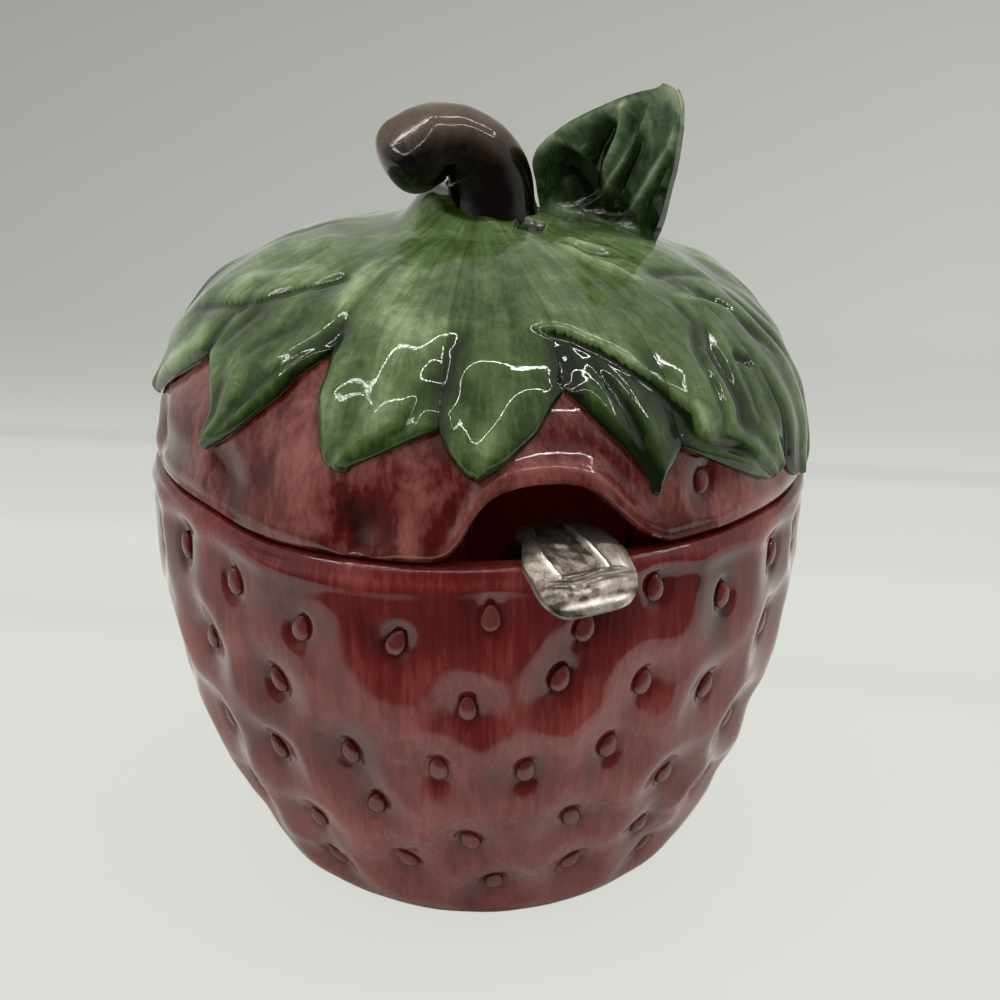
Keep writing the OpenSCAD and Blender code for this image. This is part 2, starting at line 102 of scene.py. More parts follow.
wall_white, wall_mirrored, dark_room = (0.62, 0.63, 0.61, 1), (0.6, 0.61, 0.59, 1), (0.07, 0.068, 0.066, 1)
world = bpy.data.worlds.new("light box")
scene.world = world
world.use_nodes = True
air = world.node_tree
air.nodes.clear()
to_front = add_node(air, "ShaderNodeVectorMath", {
    0: add_node(air, "ShaderNodeTexCoord").outputs["Generated"],
    1: (math.sin(camera_angle), -math.cos(camera_angle), -0.25)}, operation="DOT_PRODUCT")
opening = add_node(air, "ShaderNodeMapRange", {
    "Value": to_front.outputs["Value"], "From Min": 0.35, "From Max": 0.85}, interpolation_type="SMOOTHSTEP")
walls = add_node(air, "ShaderNodeMix", {0: opening, 6: wall_mirrored, 7: dark_room}, data_type="RGBA")
seen = add_node(air, "ShaderNodeLightPath").outputs
lit_walls, mirrored, backdrop = (
    add_node(air, "ShaderNodeBackground", {"Color": colour, "Strength": 1.0})
    for colour in (wall_white, walls.outputs[2], linear("#acada8")))
around_box = add_node(air, "ShaderNodeMixShader", {0: seen["Is Glossy Ray"], 1: lit_walls, 2: mirrored})
both = add_node(air, "ShaderNodeMixShader", {0: seen["Is Camera Ray"], 1: around_box, 2: backdrop})
add_node(air, "ShaderNodeOutputWorld", {"Surface": both})

for name, place, size, power in (
    ("ceiling", (0, 0.02, 0.62), (0.72, 0.5), 1.0),
    ("left wall", (-0.62, -0.05, 0.25), (0.6, 0.45), 0.45),
    ("right wall", (0.62, -0.05, 0.25), (0.6, 0.45), 0.45),
    ("front", (-0.15, -0.7, 0.3), (0.9, 0.4), 0.6),
):
    lamp = bpy.data.lights.new(name, "AREA")
    lamp.shape, lamp.size, lamp.size_y, lamp.energy = "RECTANGLE", *size, power
    lamp_object = put_in(name, lamp)
    lamp_object.location = place
    lamp_object.rotation_euler = (aim - Vector(place)).to_track_quat("-Z", "Y").to_euler()
    lamp_object.visible_glossy = False

# A little light that finds its way in through the arch
fill = bpy.data.lights.new("inside", "POINT")
fill.energy, fill.shadow_soft_size = 0.005, 0.015
fill_object = put_in("inside", fill)
fill_object.location = (0, 0.01, 0.074)
fill_object.visible_glossy = False

# The lamps of the frame, 17 mm apart along the four sides of a rectangle
frame_half_x, frame_half_y, frame_middle_y, frame_z = 0.37, 0.1, -0.14, 0.45
lamp_pitch, lamp_half, lamp_strength = 0.0167, 0.003, 130
square = ((-1, -1), (-1, 1), (1, 1), (1, -1))
corners = []
for along_x in (True, False):
    half = frame_half_x if along_x else frame_half_y
    for side in (-1, 1):
        for step in range(int(2 * half / lamp_pitch)):
            run = -half + (step + 0.5) * lamp_pitch
            x, y = (run, side * frame_half_y) if along_x else (side * frame_half_x, run)
            corners += [(x + a * lamp_half, frame_middle_y + y + b * lamp_half, frame_z) for a, b in square]
lamps_mesh = bpy.data.meshes.new("frame_lamps")
lamps_mesh.from_pydata(corners, [], np.arange(len(corners)).reshape(-1, 4).tolist())
frame_lamps = put_in("frame_lamps", lamps_mesh)
glow, tree = new_material("frame lamps")
light = add_node(tree, "ShaderNodeEmission", {"Color": (1, 0.98, 0.95, 1), "Strength": lamp_strength})
add_node(tree, "ShaderNodeOutputMaterial", {"Surface": light})
lamps_mesh.materials.append(glow)
frame_lamps.visible_camera = False

# White acrylic sheet: the table. Seen from the camera it glows in a painted tone that
# darkens behind, where the sheet turns up, and towards the left: painted shade for the
# wall and the light falling off. Near the pot this glow paints out most of the pot's
# shadow. In front of the pot the glaze mirrors it dark, as the room there is.
sheet_half, sheet_z, camera_run = 4, -0.0004, 0.31
floor_mesh = bpy.data.meshes.new("floor")
floor_mesh.from_pydata([(x * sheet_half, y * sheet_half, sheet_z) for x, y in square[::-1]], [], [(0, 1, 2, 3)])
floor = put_in("floor", floor_mesh)
acrylic, tree = new_material("white acrylic sheet")
place = add_node(tree, "ShaderNodeTexCoord").outputs["Object"]
depth, sideways = (
    add_node(tree, "ShaderNodeVectorMath", {0: place, 1: way}, operation="DOT_PRODUCT").outputs["Value"] for way in (
        (-math.sin(camera_angle), math.cos(camera_angle), 0), (math.cos(camera_angle), math.sin(camera_angle), 0)))
from_lens = add_node(tree, "ShaderNodeMath", {0: depth, 1: camera_run}, operation="ADD")
side = add_node(tree, "ShaderNodeMath", {0: sideways, 1: from_lens}, operation="DIVIDE")
turned_depth = add_node(tree, "ShaderNodeMath", {0: side, 1: 0.08, 2: depth}, operation="MULTIPLY_ADD")
along_sheet = add_node(tree, "ShaderNodeMapRange", {"Value": turned_depth, "From Min": 0.0, "From Max": 1.4})
tone = add_node(tree, "ShaderNodeValToRGB", {0: along_sheet}, stops=(
    (0.02, "#dddfd8"), (0.046, "#dddfd8"), (0.055, "#d9dad4"), (0.062, "#dcddd7"), (0.09, "#dedfd9"),
    (0.1, "#d8d9d3"), (0.14, "#d2d3cf"), (0.146, "#c6c7c2"), (0.151, "#cdcec9"), (0.175, "#c3c4bf"),
    (0.22, "#bbbcb7"), (0.32, "#b7b8b3"), (0.5, "#b2b3ae"), (0.68, "#afb0ab"), (0.97, "#abaca7")))
ends = [add_node(tree, "ShaderNodeMapRange", {
    "Value": turned_depth, "From Min": 0.13, "From Max": 0.35, "To Min": low, "To Max": high})
    for low, high in ((0.965, 0.87), (0.985, 1.14))]
across = add_node(tree, "ShaderNodeMapRange", {
    "Value": side, "From Min": -0.24, "From Max": 0.24, "To Min": ends[0], "To Max": ends[1]})
# painted shade: the tone is scaled darker behind and towards the left
painted_shade_tone = add_node(tree, "ShaderNodeVectorMath", {0: tone, "Scale": across}, operation="SCALE")
seen = add_node(tree, "ShaderNodeLightPath").outputs
away = add_node(tree, "ShaderNodeVectorMath", {0: place}, operation="LENGTH").outputs["Value"]
far = add_node(tree, "ShaderNodeMapRange", {
    "Value": depth, "From Min": -0.108, "From Max": -0.078, "To Min": 1.0, "To Max": 0.0},
    interpolation_type="SMOOTHSTEP")
dim = add_node(tree, "ShaderNodeMath", {0: far, 1: seen["Is Glossy Ray"]}, operation="MULTIPLY")
shade = add_node(tree, "ShaderNodeMix", {0: dim, 6: (0.8, 0.81, 0.77, 1), 7: dark_room}, data_type="RGBA")
sheet = add_node(tree, "ShaderNodeBsdfPrincipled", {
    "Base Color": shade.outputs[2], "Roughness": 0.12, "Specular IOR Level": 0.4})
# painted light: camera rays see the sheet glow, which paints out most of the pot's shadow near it
painted_glow = add_node(tree, "ShaderNodeEmission", {"Color": painted_shade_tone, "Strength": 1.0})
even = add_node(tree, "ShaderNodeMapRange", {
    "Value": away, "From Min": 0.04, "From Max": 0.2, "To Min": 0.92, "To Max": 1.0},
    interpolation_type="SMOOTHSTEP")
cleaned = add_node(tree, "ShaderNodeMath", {0: even, 1: seen["Is Camera Ray"]}, operation="MULTIPLY")
surface = add_node(tree, "ShaderNodeMixShader", {0: cleaned, 1: sheet, 2: painted_glow})
add_node(tree, "ShaderNodeOutputMaterial", {"Surface": surface})
floor_mesh.materials.append(acrylic)


# Pot: a strawberry cast in white earthenware, its side pressed with shallow hollows
# that each hold a seed. It is brushed with red underglaze inside and out and dipped in
# clear glaze, with the foot wiped bare.
pot_h, pot_r, belly_h, belly_r, foot_round = 69, 52.3, 64, 103.3, 12
pot_wall, floor_t, foot_ring_w, foot_recess, rim_round = 4.2, 4, 5, 1.2, 1.2
belly_x = pot_r - belly_r
foot_r = belly_x + math.sqrt((belly_r - foot_round) ** 2 - (belly_h - foot_round) ** 2)
foot_turn = math.atan2(belly_h - foot_round, foot_r - belly_x)
foot_top_h = belly_h - belly_r * math.sin(foot_turn)
seed_places = [
    (-59.2, 0.87), (-44.7, 0.82), (-27.5, 0.823), (-12.3, 0.888), (3, 0.85), (15.3, 0.913),
    (30.6, 0.848), (46, 0.885), (-70.5, 0.69), (-52.5, 0.655), (-16.1, 0.667),
    (-0.5, 0.728), (14.9, 0.688), (30.9, 0.616), (-74.2, 0.457), (-57.2, 0.455), (-39, 0.505),
    (-21.6, 0.499), (-5.6, 0.493), (10.2, 0.528), (27.2, 0.386), (-73.5, 0.275), (-52.7, 0.268),
    (-35.5, 0.364), (-16.2, 0.274), (5.6, 0.322), (27, 0.226), (-54, 0.135), (-31.5, 0.19),
    (-10.4, 0.12), (9.4, 0.155), (36, 0.12),
]
hollow_half_w, hollow_half_h, hollow_depth = 8.8, 9.8, 1.75
seed_half_w, seed_half_l, seed_high = 1.6, 2.3, 0.8
cast_swell, wall_wave, fine_wave, deepest, hollow_reach = 0.35, 0.45, 0.12, 1.15, 13
crowded_above, crowded_depth, seed_sink, pot_columns = 0.8, 0.55, 0.5, 560


def smooth(low, high, value):
    share = np.clip((value - low) / (high - low), 0, 1)
    return share * share * (3 - 2 * share)


def bell(value, middle, wide):
    return np.exp(-((value - middle) / wide) ** 2)


def ripple(points, size, seed, waves=20):
    """The slow unevenness of hand work: random waves about size mm long, mostly within 1."""
    rng = np.random.default_rng(seed)
    total = np.zeros(points.shape[:-1])
    for _ in range(waves):
        way = rng.normal(size=3)
        way *= 2 * math.pi / (np.linalg.norm(way) * size * rng.uniform(0.8, 1.8))
        total += np.sin(points @ way + rng.uniform(0, 2 * math.pi))
    return total / math.sqrt(2 * waves)


def settle(points):
    """The rim warped in the kiln: it stands higher at the left, and the lid follows it."""
    angle = np.degrees(np.arctan2(points[..., 0], -points[..., 1]))
    from_left = (angle + 92 + 180) % 360 - 180
    rise = 1.7 * smooth(-62, -34, from_left) * (1 - smooth(24, 44, from_left))
    rise = rise + 0.25 * np.sin(np.radians(3 * angle + 40))
    high = points[..., 2]
    weight = smooth(46, 67, high) * (1 - smooth(72, 92, high))
    settled = points.copy()
    settled[..., 2] += rise * weight
    return settled


def round_axis(r, angle, z):
    """Points in mm from radius, height, and an angle in radians that is 0 at the front."""
    return np.stack(np.broadcast_arrays(r * np.sin(angle), -r * np.cos(angle), z), -1)


def angle_from(middle, angle):
    """How far round an angle is from a middle one, in radians, less than half a turn either way."""
    return (angle - middle + math.pi) % (2 * math.pi) - math.pi


def seed_share(across, up, tilt):
    """How far a point is from the middle of a tilted seed: 1 is the seed's edge."""
    return np.hypot((across * math.cos(tilt) + up * math.sin(tilt)) / seed_half_w,
                    (up * math.cos(tilt) - across * math.sin(tilt)) / seed_half_l)


def add_piece(name, points, faces, materials, body, node, tones, key="glaze", face_materials=None):
    """A closed mesh in mm, with its faces turned outwards, as a piece of the object."""
    volume = 0
    for face in faces:
        corner = points[face[:, 0]]
        for k in range(1, face.shape[1] - 1):
            volume += np.einsum("ij,ij->i", corner, np.cross(points[face[:, k]], points[face[:, k + 1]])).sum()
    lists = [row for face in faces for row in (face if volume > 0 else face[:, ::-1]).tolist()]
    mesh = bpy.data.meshes.new(name)
    mesh.from_pydata((points * 0.001).tolist(), [], lists)
    mesh.update()
    mesh.attributes.new(key, "FLOAT", "POINT").data.foreach_set("value", tones.astype(np.float32))
    for material in materials:
        mesh.materials.append(material)
    if face_materials is not None:
        mesh.polygons.foreach_set("material_index", face_materials.astype(np.int32))
    mesh.polygons.foreach_set("use_smooth", np.ones(len(lists), bool))
    mesh.set_sharp_from_angle(angle=math.radians(62))
    piece = put_in(name, mesh)
    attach(piece, body)
    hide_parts(node)


def add_turned(name, grid, low_point, high_point, tones, materials, body, slot, node, face_materials=None):
    """A grid wrapped round an axis, as a piece that a point below and a point above close."""
    rows, columns = grid.shape[:2]
    i, j = np.meshgrid(np.arange(rows - 1), np.arange(columns), indexing="ij")
    right = (j + 1) % columns
    quads = np.stack([i * columns + j, i * columns + right, (i + 1) * columns + right, (i + 1) * columns + j], -1)
    j, right, low, last = j[0], right[0], rows * columns, (rows - 1) * columns
    caps = [np.stack([np.full(columns, low), right, j], -1),
            np.stack([np.full(columns, low + 1), last + j, last + right], -1)]
    points = np.concatenate([grid.reshape(-1, 3), [low_point, high_point]])
    add_piece(name, points, [quads.reshape(-1, 4), *caps], materials, body, node,
              np.concatenate([tones.ravel(), [0, 0]]), face_materials=face_materials)


def pot_side(high):
    """Radius and lean of the pot's side at a height."""
    on_belly = high > foot_top_h
    x, z, r = (belly_x, belly_h, belly_r) if on_belly else (foot_r, foot_round, foot_round)
    lean = math.asin((high - z) / r)
    return x + r * math.cos(lean), lean


def arc(x, z, r, angles):
    """Part of the profile, round a middle at radius x and height z."""
    return [(x + r * math.cos(a), z + r * math.sin(a)) for a in angles]


# The profile, from under the middle, out over the foot and the side, and in over the rim
foot_in_r, floor_z, corner_round = foot_r - foot_ring_w, foot_recess + floor_t, 6
profile = [(r, foot_recess) for r in (5, 10, 15, foot_in_r - 1.2)]
profile += [(foot_in_r - 0.6 + 0.6 * math.sin(a), foot_recess - 0.5 + 0.5 * math.cos(a)) for a in (0.4, 0.9, 1.4)]
profile += [(foot_in_r + 0.1, 0.35), (foot_in_r + 0.5, 0), (foot_r - 2.5, 0), (foot_r - 0.3, 0)]
outside_first = len(profile)
profile += arc(foot_r, foot_round, foot_round, np.linspace(0.04 - math.pi / 2, -foot_turn, 16))
profile += arc(belly_x, belly_h, belly_r,
               np.linspace(-foot_turn, math.asin((pot_h - rim_round - belly_h) / belly_r), 122)[1:])
outside_last = len(profile)
rim_out_r = profile[-1][0]
mouth_r = belly_x + math.sqrt((belly_r - pot_wall) ** 2 - (pot_h - belly_h) ** 2)
profile += arc(rim_out_r - rim_round, pot_h - rim_round, rim_round, np.linspace(0.3, math.pi / 2, 5))
profile += arc(mouth_r + rim_round, pot_h - rim_round, rim_round, np.linspace(math.pi / 2, math.pi, 5))
inside_first = len(profile)
for high in np.linspace(pot_h - 4, floor_z + corner_round, 14):
    profile.append((belly_x + math.sqrt((belly_r - pot_wall) ** 2 - (high - belly_h) ** 2), high))
profile += arc(profile[-1][0] - corner_round, floor_z + corner_round, corner_round,
               np.linspace(-0.35, -math.pi / 2, 5))
profile = np.array(profile + [(r, floor_z) for r in (20, 13, 6)])

turn = np.linspace(0, 2 * math.pi, pot_columns, endpoint=False)[None, :]
level = profile[:, None, 1]
way = np.concatenate([[0], np.cumsum(np.hypot(*np.diff(profile, axis=0).T))])
heading = np.gradient(profile, axis=0)
heading /= np.linalg.norm(heading, axis=1, keepdims=True)
outside = slice(outside_first, outside_last)
on_outside = (np.arange(len(way)) >= outside_first) & (np.arange(len(way)) < outside_last)

# Every seed: its angle and height, its turn, and its hollow's height, width and depth
rng = np.random.default_rng(7)
seeds = []
for third in range(3):
    for angle, share in seed_places:
        seeds.append((math.radians(angle + 120 * third), share * pot_h, rng.uniform(-0.45, 0.45),
                      rng.uniform(0.9, 1.1), rng.uniform(0.88, 1.12), crowded_depth if share > crowded_above else 1))
dip, moat = np.zeros((2, len(profile), pot_columns))
seed_ways = np.interp([seed[1] for seed in seeds], profile[outside, 1], way[outside])
for (angle, high, tilt, size, wide, deep), seed_way in zip(seeds, seed_ways):
    rows = (np.abs(way - seed_way) < hollow_reach) & on_outside
    across = angle_from(angle, turn) * profile[rows, 0][:, None]
    up = (way[rows] - seed_way)[:, None]
    share = np.hypot(across / (hollow_half_w * wide), up / (hollow_half_h * size))
    dip[rows] += (1 - smooth(0.15, 1.0, share)) * size * deep
    moat[rows] = np.maximum(moat[rows], bell(np.maximum(0.95, seed_share(across, up, tilt)), 0.95, 0.5))
body_points = round_axis(profile[:, None, 0], turn, level)
outer = np.zeros((len(profile), 1))
outer[outside, 0] = smooth(0, 7, way[outside] - way[outside_first]) * smooth(0, 3.2, way[outside_last] - way[outside])
waves = wall_wave * ripple(body_points, 34, 1) + fine_wave * ripple(body_points, 9, 2)
out = outer * (cast_swell + waves - hollow_depth * np.minimum(dip, deepest) - 0.55 * moat)
# A rolled edge just under the rim
under_rim = way[outside_last - 1] - way
out += ((0.22 * bell(under_rim, 1.6, 1.1) - 0.18 * bell(under_rim, 4.2, 1.3)) * on_outside)[:, None]
out[outside_last:inside_first] += 0.12 * ripple(body_points[outside_last:inside_first], 14, 3)
body_points = settle(body_points + round_axis(out * heading[:, 1:], turn, -out * heading[:, :1]))
# Tone: darker in the hollows and round each seed and paler on the rises, where the glaze pools and thins,
# strengthened as painted shade and painted highlight. Painted shade darkens the band from 42 to 62 mm up, standing in
# for the dark room it mirrors, and painted light brightens it towards the foot, as light from the table.
glaze = outer * (0.5 - 0.6 * np.minimum(dip, 1) - 0.55 * moat + 0.5 * waves
                 - 0.75 * smooth(42, 62, level) + 0.3 * (1 - smooth(8, 34, level)))
# painted highlight: a paler band on the rolled edge under the rim
glaze += (0.5 * bell(under_rim, 1.2, 0.9) * on_outside)[:, None]


def lay_surface(tree, colour, height, strength, depth, **looks):
    """The surface that a material ends in: its colour, its fine relief in metres, and its gloss."""
    bump = add_node(tree, "ShaderNodeBump", {"Height": height, "Strength": strength, "Distance": depth})
    skin = add_node(tree, "ShaderNodeBsdfPrincipled", {"Base Color": colour, "Normal": bump, **looks})
    add_node(tree, "ShaderNodeOutputMaterial", {"Surface": skin})


# Clear-glazed red underglaze: the brush leaves upright streaks about 1 mm wide. The tone
# on the mesh makes it pale on the ridges and dark in the hollows, where the glaze thins and
# pools, and also brings in the painted highlights and painted shade of each piece.
def red_glaze(name, dark, mid, pale, streak_scale, blotches=0.6, dabs=0.45):
    material, tree = new_material(name)
    place = add_node(tree, "ShaderNodeTexCoord").outputs["Object"]
    stretched = add_node(tree, "ShaderNodeMapping", {"Vector": place, "Scale": streak_scale})
    fine = add_node(tree, "ShaderNodeTexNoise", {
        "Vector": stretched, "Scale": 1300, "Detail": 4, "Roughness": 0.65})
    broad = add_node(tree, "ShaderNodeTexNoise", {
        "Vector": stretched, "Scale": 260, "Detail": 3, "Roughness": 0.65, "Distortion": 0.4})
    cloud = add_node(tree, "ShaderNodeTexNoise", {"Vector": place, "Scale": 65, "Detail": 2})
    height = add_node(tree, "ShaderNodeAttribute", attribute_name="glaze").outputs["Fac"]
    total = 0.275 - blotches / 2 - dabs / 2
    for source, weight in ((fine, 0.45), (broad, dabs), (cloud, blotches), (height, 0.2)):
        total = add_node(tree, "ShaderNodeMath", {0: source, 1: weight, 2: total}, operation="MULTIPLY_ADD")
    tones = add_node(tree, "ShaderNodeValToRGB", {0: total}, stops=((0.22, dark), (0.5, mid), (0.9, pale)))
    dimples = add_node(tree, "ShaderNodeTexNoise", {"Vector": place, "Scale": 330, "Detail": 2})
    skin = add_node(tree, "ShaderNodeMath", {0: fine, 1: 0.35, 2: dimples}, operation="MULTIPLY_ADD")
    gloss = add_node(tree, "ShaderNodeMapRange", {"Value": cloud, "To Min": 0.03, "To Max": 0.08})
    lay_surface(tree, tones, skin, 0.07, 0.0004, Roughness=gloss, IOR=1.5)
    return material


pot_red = red_glaze("clear glaze over brushed red", "#2c0706", "#5a1a18", "#8a4843", (1, 1, 0.09))
inside_red = red_glaze("clear glaze over thin red inside", "#5a0f0d", "#701613", "#842a25", (1, 1, 0.3))

# Bare fired earthenware under the foot: matt and chalky, with grit about 0.3 mm across
bare_clay, tree = new_material("bare earthenware")
place = add_node(tree, "ShaderNodeTexCoord").outputs["Object"]
grit = add_node(tree, "ShaderNodeTexNoise", {"Vector": place, "Scale": 1600, "Detail": 4})
tones = add_node(tree, "ShaderNodeValToRGB", {0: grit}, stops=((0, "#b9ab98"), (1, "#dcd2c2")))
lay_surface(tree, tones, grit, 0.3, 0.0002, Roughness=0.85)

row_of = np.repeat(np.arange(len(profile) - 1), pot_columns)
side_materials = np.where(row_of >= inside_first - 3, 1, np.where(row_of < outside_first - 1, 2, 0))
add_turned(
    "pot_body", body_points, (0, 0, foot_recess), (0, 0, floor_z), glaze, [pot_red, inside_red, bare_clay],
    "pot", "red_glaze", "pot", np.concatenate([side_materials, np.full(pot_columns, 2), np.full(pot_columns, 1)]))


# Seeds: small raised ovals of the same clay, one in each hollow, under the same glaze,
# painted paler on their tops as a painted highlight. One is modelled, and laid at every
# place on a carrier mesh.
def seed_pose(middle, angle, lean, tilt):
    """A seed's middle, outward way and lengthwise way."""
    out_way = round_axis(math.cos(lean), angle, math.sin(lean))
    up_way = round_axis(-math.sin(lean), angle, math.cos(lean))
    side_way = np.array([math.cos(angle), math.sin(angle), 0])
    return settle(middle), out_way, up_way * math.cos(tilt) - side_way * math.sin(tilt)


def lay_seeds(name, places, body, material):
    """Seeds at their places (middle, outward way, lengthwise way, in mm), as one piece on a body."""
    carrier = bpy.data.meshes.new(name)
    carrier.from_pydata([tuple(p[0] * 0.001) for p in places], [], [])
    for key, column in (("out", 1), ("along", 2)):
        carrier.attributes.new(key, "FLOAT_VECTOR", "POINT").data.foreach_set(
            "vector", np.array([p[column] for p in places], np.float32).ravel())
    piece = put_in(name, carrier)
    tree = bpy.data.node_groups.new(name + "_tree", "GeometryNodeTree")
    ports = {}
    for label, kind in (("Geometry", "Geometry"), ("Half width", "Float"), ("Half length", "Float"),
                        ("Height", "Float"), ("Glaze", "Material")):
        ports[label] = tree.interface.new_socket(label, in_out="INPUT", socket_type="NodeSocket" + kind).identifier
    tree.interface.new_socket("Geometry", in_out="OUTPUT", socket_type="NodeSocketGeometry")
    given = add_node(tree, "NodeGroupInput").outputs
    ball = add_node(tree, "GeometryNodeMeshUVSphere", {"Segments": 14, "Rings": 8, "Radius": 1.0})
    spot = add_node(tree, "GeometryNodeInputPosition")
    parts = add_node(tree, "ShaderNodeSeparateXYZ", {0: spot}).outputs
    narrow = add_node(tree, "ShaderNodeMath", {0: parts["Y"], 1: -0.2, 2: 0.95}, operation="MULTIPLY_ADD")
    wide = add_node(tree, "ShaderNodeMath", {0: narrow, 1: given["Half width"]}, operation="MULTIPLY")
    size = add_node(tree, "ShaderNodeCombineXYZ", {0: wide, 1: given["Half length"], 2: given["Height"]})
    drop = add_node(tree, "ShaderNodeVectorMath", {0: spot, 1: size}, operation="MULTIPLY")
    # painted highlight: the seed's height is kept as its tone, so its top is paler
    painted_lit_tops = add_node(tree, "GeometryNodeStoreNamedAttribute", {
        "Geometry": ball, "Name": "glaze", "Value": parts["Z"]}, data_type="FLOAT", domain="POINT")
    shaped = add_node(tree, "GeometryNodeSetPosition", {"Geometry": painted_lit_tops, "Position": drop})
    soft = add_node(tree, "GeometryNodeSetShadeSmooth", {"Geometry": shaped})
    out, along = (add_node(tree, "GeometryNodeInputNamedAttribute", {"Name": key}, data_type="FLOAT_VECTOR")
                  for key in ("out", "along"))
    upright = add_node(tree, "FunctionNodeAlignRotationToVector", {"Vector": out}, axis="Z")
    lying = add_node(tree, "FunctionNodeAlignRotationToVector", {
        "Rotation": upright, "Vector": along}, axis="Y", pivot_axis="Z")
    laid = add_node(tree, "GeometryNodeInstanceOnPoints", {
        "Points": given["Geometry"], "Instance": soft, "Rotation": lying})
    real = add_node(tree, "GeometryNodeRealizeInstances", {0: laid})
    painted = add_node(tree, "GeometryNodeSetMaterial", {"Geometry": real, "Material": given["Glaze"]})
    add_node(tree, "NodeGroupOutput", {0: painted})
    maker = piece.modifiers.new("seeds", "NODES")
    maker.node_group = tree
    for label, value in (("Half width", seed_half_w * 0.001), ("Half length", seed_half_l * 0.001),
                         ("Height", seed_high * 0.001), ("Glaze", material)):
        maker[ports[label]] = value
    whole = bpy.data.meshes.new_from_object(piece.evaluated_get(bpy.context.evaluated_depsgraph_get()))
    piece.modifiers.remove(maker)
    piece.data = whole
    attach(piece, body)


seed_red = red_glaze("clear glaze over red seeds", "#2a0706", "#461210", "#6e3733", (1, 1, 0.4))
places = []
for angle, high, tilt, size, wide, deep in seeds:
    r, lean = pot_side(high)
    middle = round_axis(r, angle, high)
    lift = cast_swell + wall_wave * ripple(middle, 34, 1) - hollow_depth * min(size * deep, deepest) - seed_sink
    middle = middle + lift * round_axis(math.cos(lean), angle, math.sin(lean))
    places.append(seed_pose(middle, angle, lean, tilt))
lay_seeds("pot_seeds", places, "pot", seed_red)


# Lid: the top of the strawberry, a cast shell with a flange that drops inside the
# rim. An arch is cut in its edge for the spoon, with a lip smoothed round it by hand.
lid_r, lid_dome_r, lid_shoulder_r, lid_wide_h, lid_wall = 51.8, 82.3, 29.4, 2.2, 4.2
lid_gap, flange_play, flange_w, flange_h, flange_t, flange_root_w, edge_round = 0.3, 1.2, 3.2, 5, 3.2, 3.6, 1.3
lid_hollow_half_w, lid_hollow_half_h, lid_seed_sink, faint_sink = 6.5, 7.5, 2.0, 0.9
seat_z, flange_out_r = pot_h + lid_gap, mouth_r - flange_play
flange_in_r = flange_out_r - flange_w
shoulder_x, shoulder_z = lid_r - lid_shoulder_r, seat_z + lid_wide_h
dome_turn = math.asin(shoulder_x / (lid_dome_r - lid_shoulder_r))
dome_z = shoulder_z - (lid_dome_r - lid_shoulder_r) * math.cos(dome_turn)
lid_top_z = dome_z + lid_dome_r
dome_way = lid_dome_r * dome_turn
# Seeds in the lid's edge: the angle, the height, and how clear it was left
lid_seed_places = [
    (-90, 0.23, 0.4), (-61, 0.22, 0.2), (-33, 0.14, 0.15), (26.5, 0.27, 1), (75, 0.17, 0.5), (98, 0.24, 0.9),
    (124, 0.2, 0.3), (150, 0.26, 1), (177, 0.2, 0.4), (203, 0.25, 0.9), (228, 0.18, 0.5), (251, 0.22, 0.8),
]
# Thumb marks in the lid's side: angle, way down, half width, half length, tone, lift
lid_marks = [
    (-51.6, 61.7, 3, 3.4, -1.4, -0.6), (-35.4, 64.9, 2.5, 4, -1.5, -0.6), (-27.8, 68.1, 1.1, 2.6, -1.2, -0.35),
    (-19.5, 65.3, 3, 3.8, -1.6, -0.6), (-30.9, 68, 1.4, 2.2, 0.7, 0.3), (-24.2, 66.4, 1.5, 3.2, 0.6, 0.3),
    (-42.7, 63.4, 2, 2.8, 0.6, 0.25), (-73, 55, 8, 6, 1.2, 0), (-47, 54, 6, 7, 0.7, 0), (-62, 66, 7, 3, 0.5, 0.2),
    (23.5, 65.6, 3.6, 3, 1.4, 0.1), (30, 68, 4, 3, 0.5, -0.2), (44, 67, 3, 4, -0.3, -0.4), (58, 66, 3, 4, 0.6, 0.2),
    (92, 66, 3, 5, -0.9, -0.5), (112, 64, 4, 5, 0.6, 0.2), (137, 66, 3, 5, -1, -0.5), (163, 65, 3, 4, -0.8, -0.4),
    (190, 66, 4, 5, 0.7, 0.2), (214, 66, 3, 5, -1, -0.5), (239, 65, 3, 4, -0.9, -0.5), (258, 67, 3, 4, 0.6, 0.2),
]
mark_tone, mark_lift = 0.8, 0.5
# The arch: places across it and its height above the seat there
arch = np.array([
    (-19, 0), (-17.1, 0.7), (-15.4, 2.6), (-14.2, 5), (-12.9, 7.2), (-11.4, 8.9), (-9.3, 10), (-7, 10.6),
    (-4, 10.9), (-1, 10.8), (1.8, 10.3), (4, 9.4), (5.8, 8), (7.2, 6.4), (8.8, 4.7), (10.4, 3.2), (12.2, 1.8),
    (14.2, 0.7), (16, 0)])
flange_cut_left, flange_cut_right = -14, 12.6


def lid_lean(s):
    """Lean of the lid's surface, s down its side from the middle."""
    return np.where(
        s < dome_way, math.pi / 2 - s / lid_dome_r, math.pi / 2 - dome_turn - (s - dome_way) / lid_shoulder_r)


def way_down_to(z):
    """How far down the lid's side a height on its shoulder is."""
    share = np.clip((z - shoulder_z) / lid_shoulder_r, -1, 1)
    return dome_way + lid_shoulder_r * (math.pi / 2 - dome_turn - np.arcsin(share))


def off_lid(s, h):
    """Radius and height of a point h above the lid's surface, s down its side."""
    on_dome, lean = s < dome_way, lid_lean(s)
    length = np.where(on_dome, lid_dome_r, lid_shoulder_r) + h
    return (np.where(on_dome, 0, shoulder_x) + length * np.cos(lean),
            np.where(on_dome, dome_z, shoulder_z) + length * np.sin(lean))


def on_lid(angle, s, h):
    """Points over the lid, from their angle in radians, way down the side and height above it."""
    r, z = off_lid(s, h)
    return round_axis(r, angle, z)


def blurred(values, weights=(0.1, 0.2, 0.4, 0.2, 0.1)):
    """Values round the axis, each evened out with its neighbours."""
    reach = len(weights) // 2
    return np.convolve(np.r_[values[-reach:], values, values[:reach]], weights, "valid")


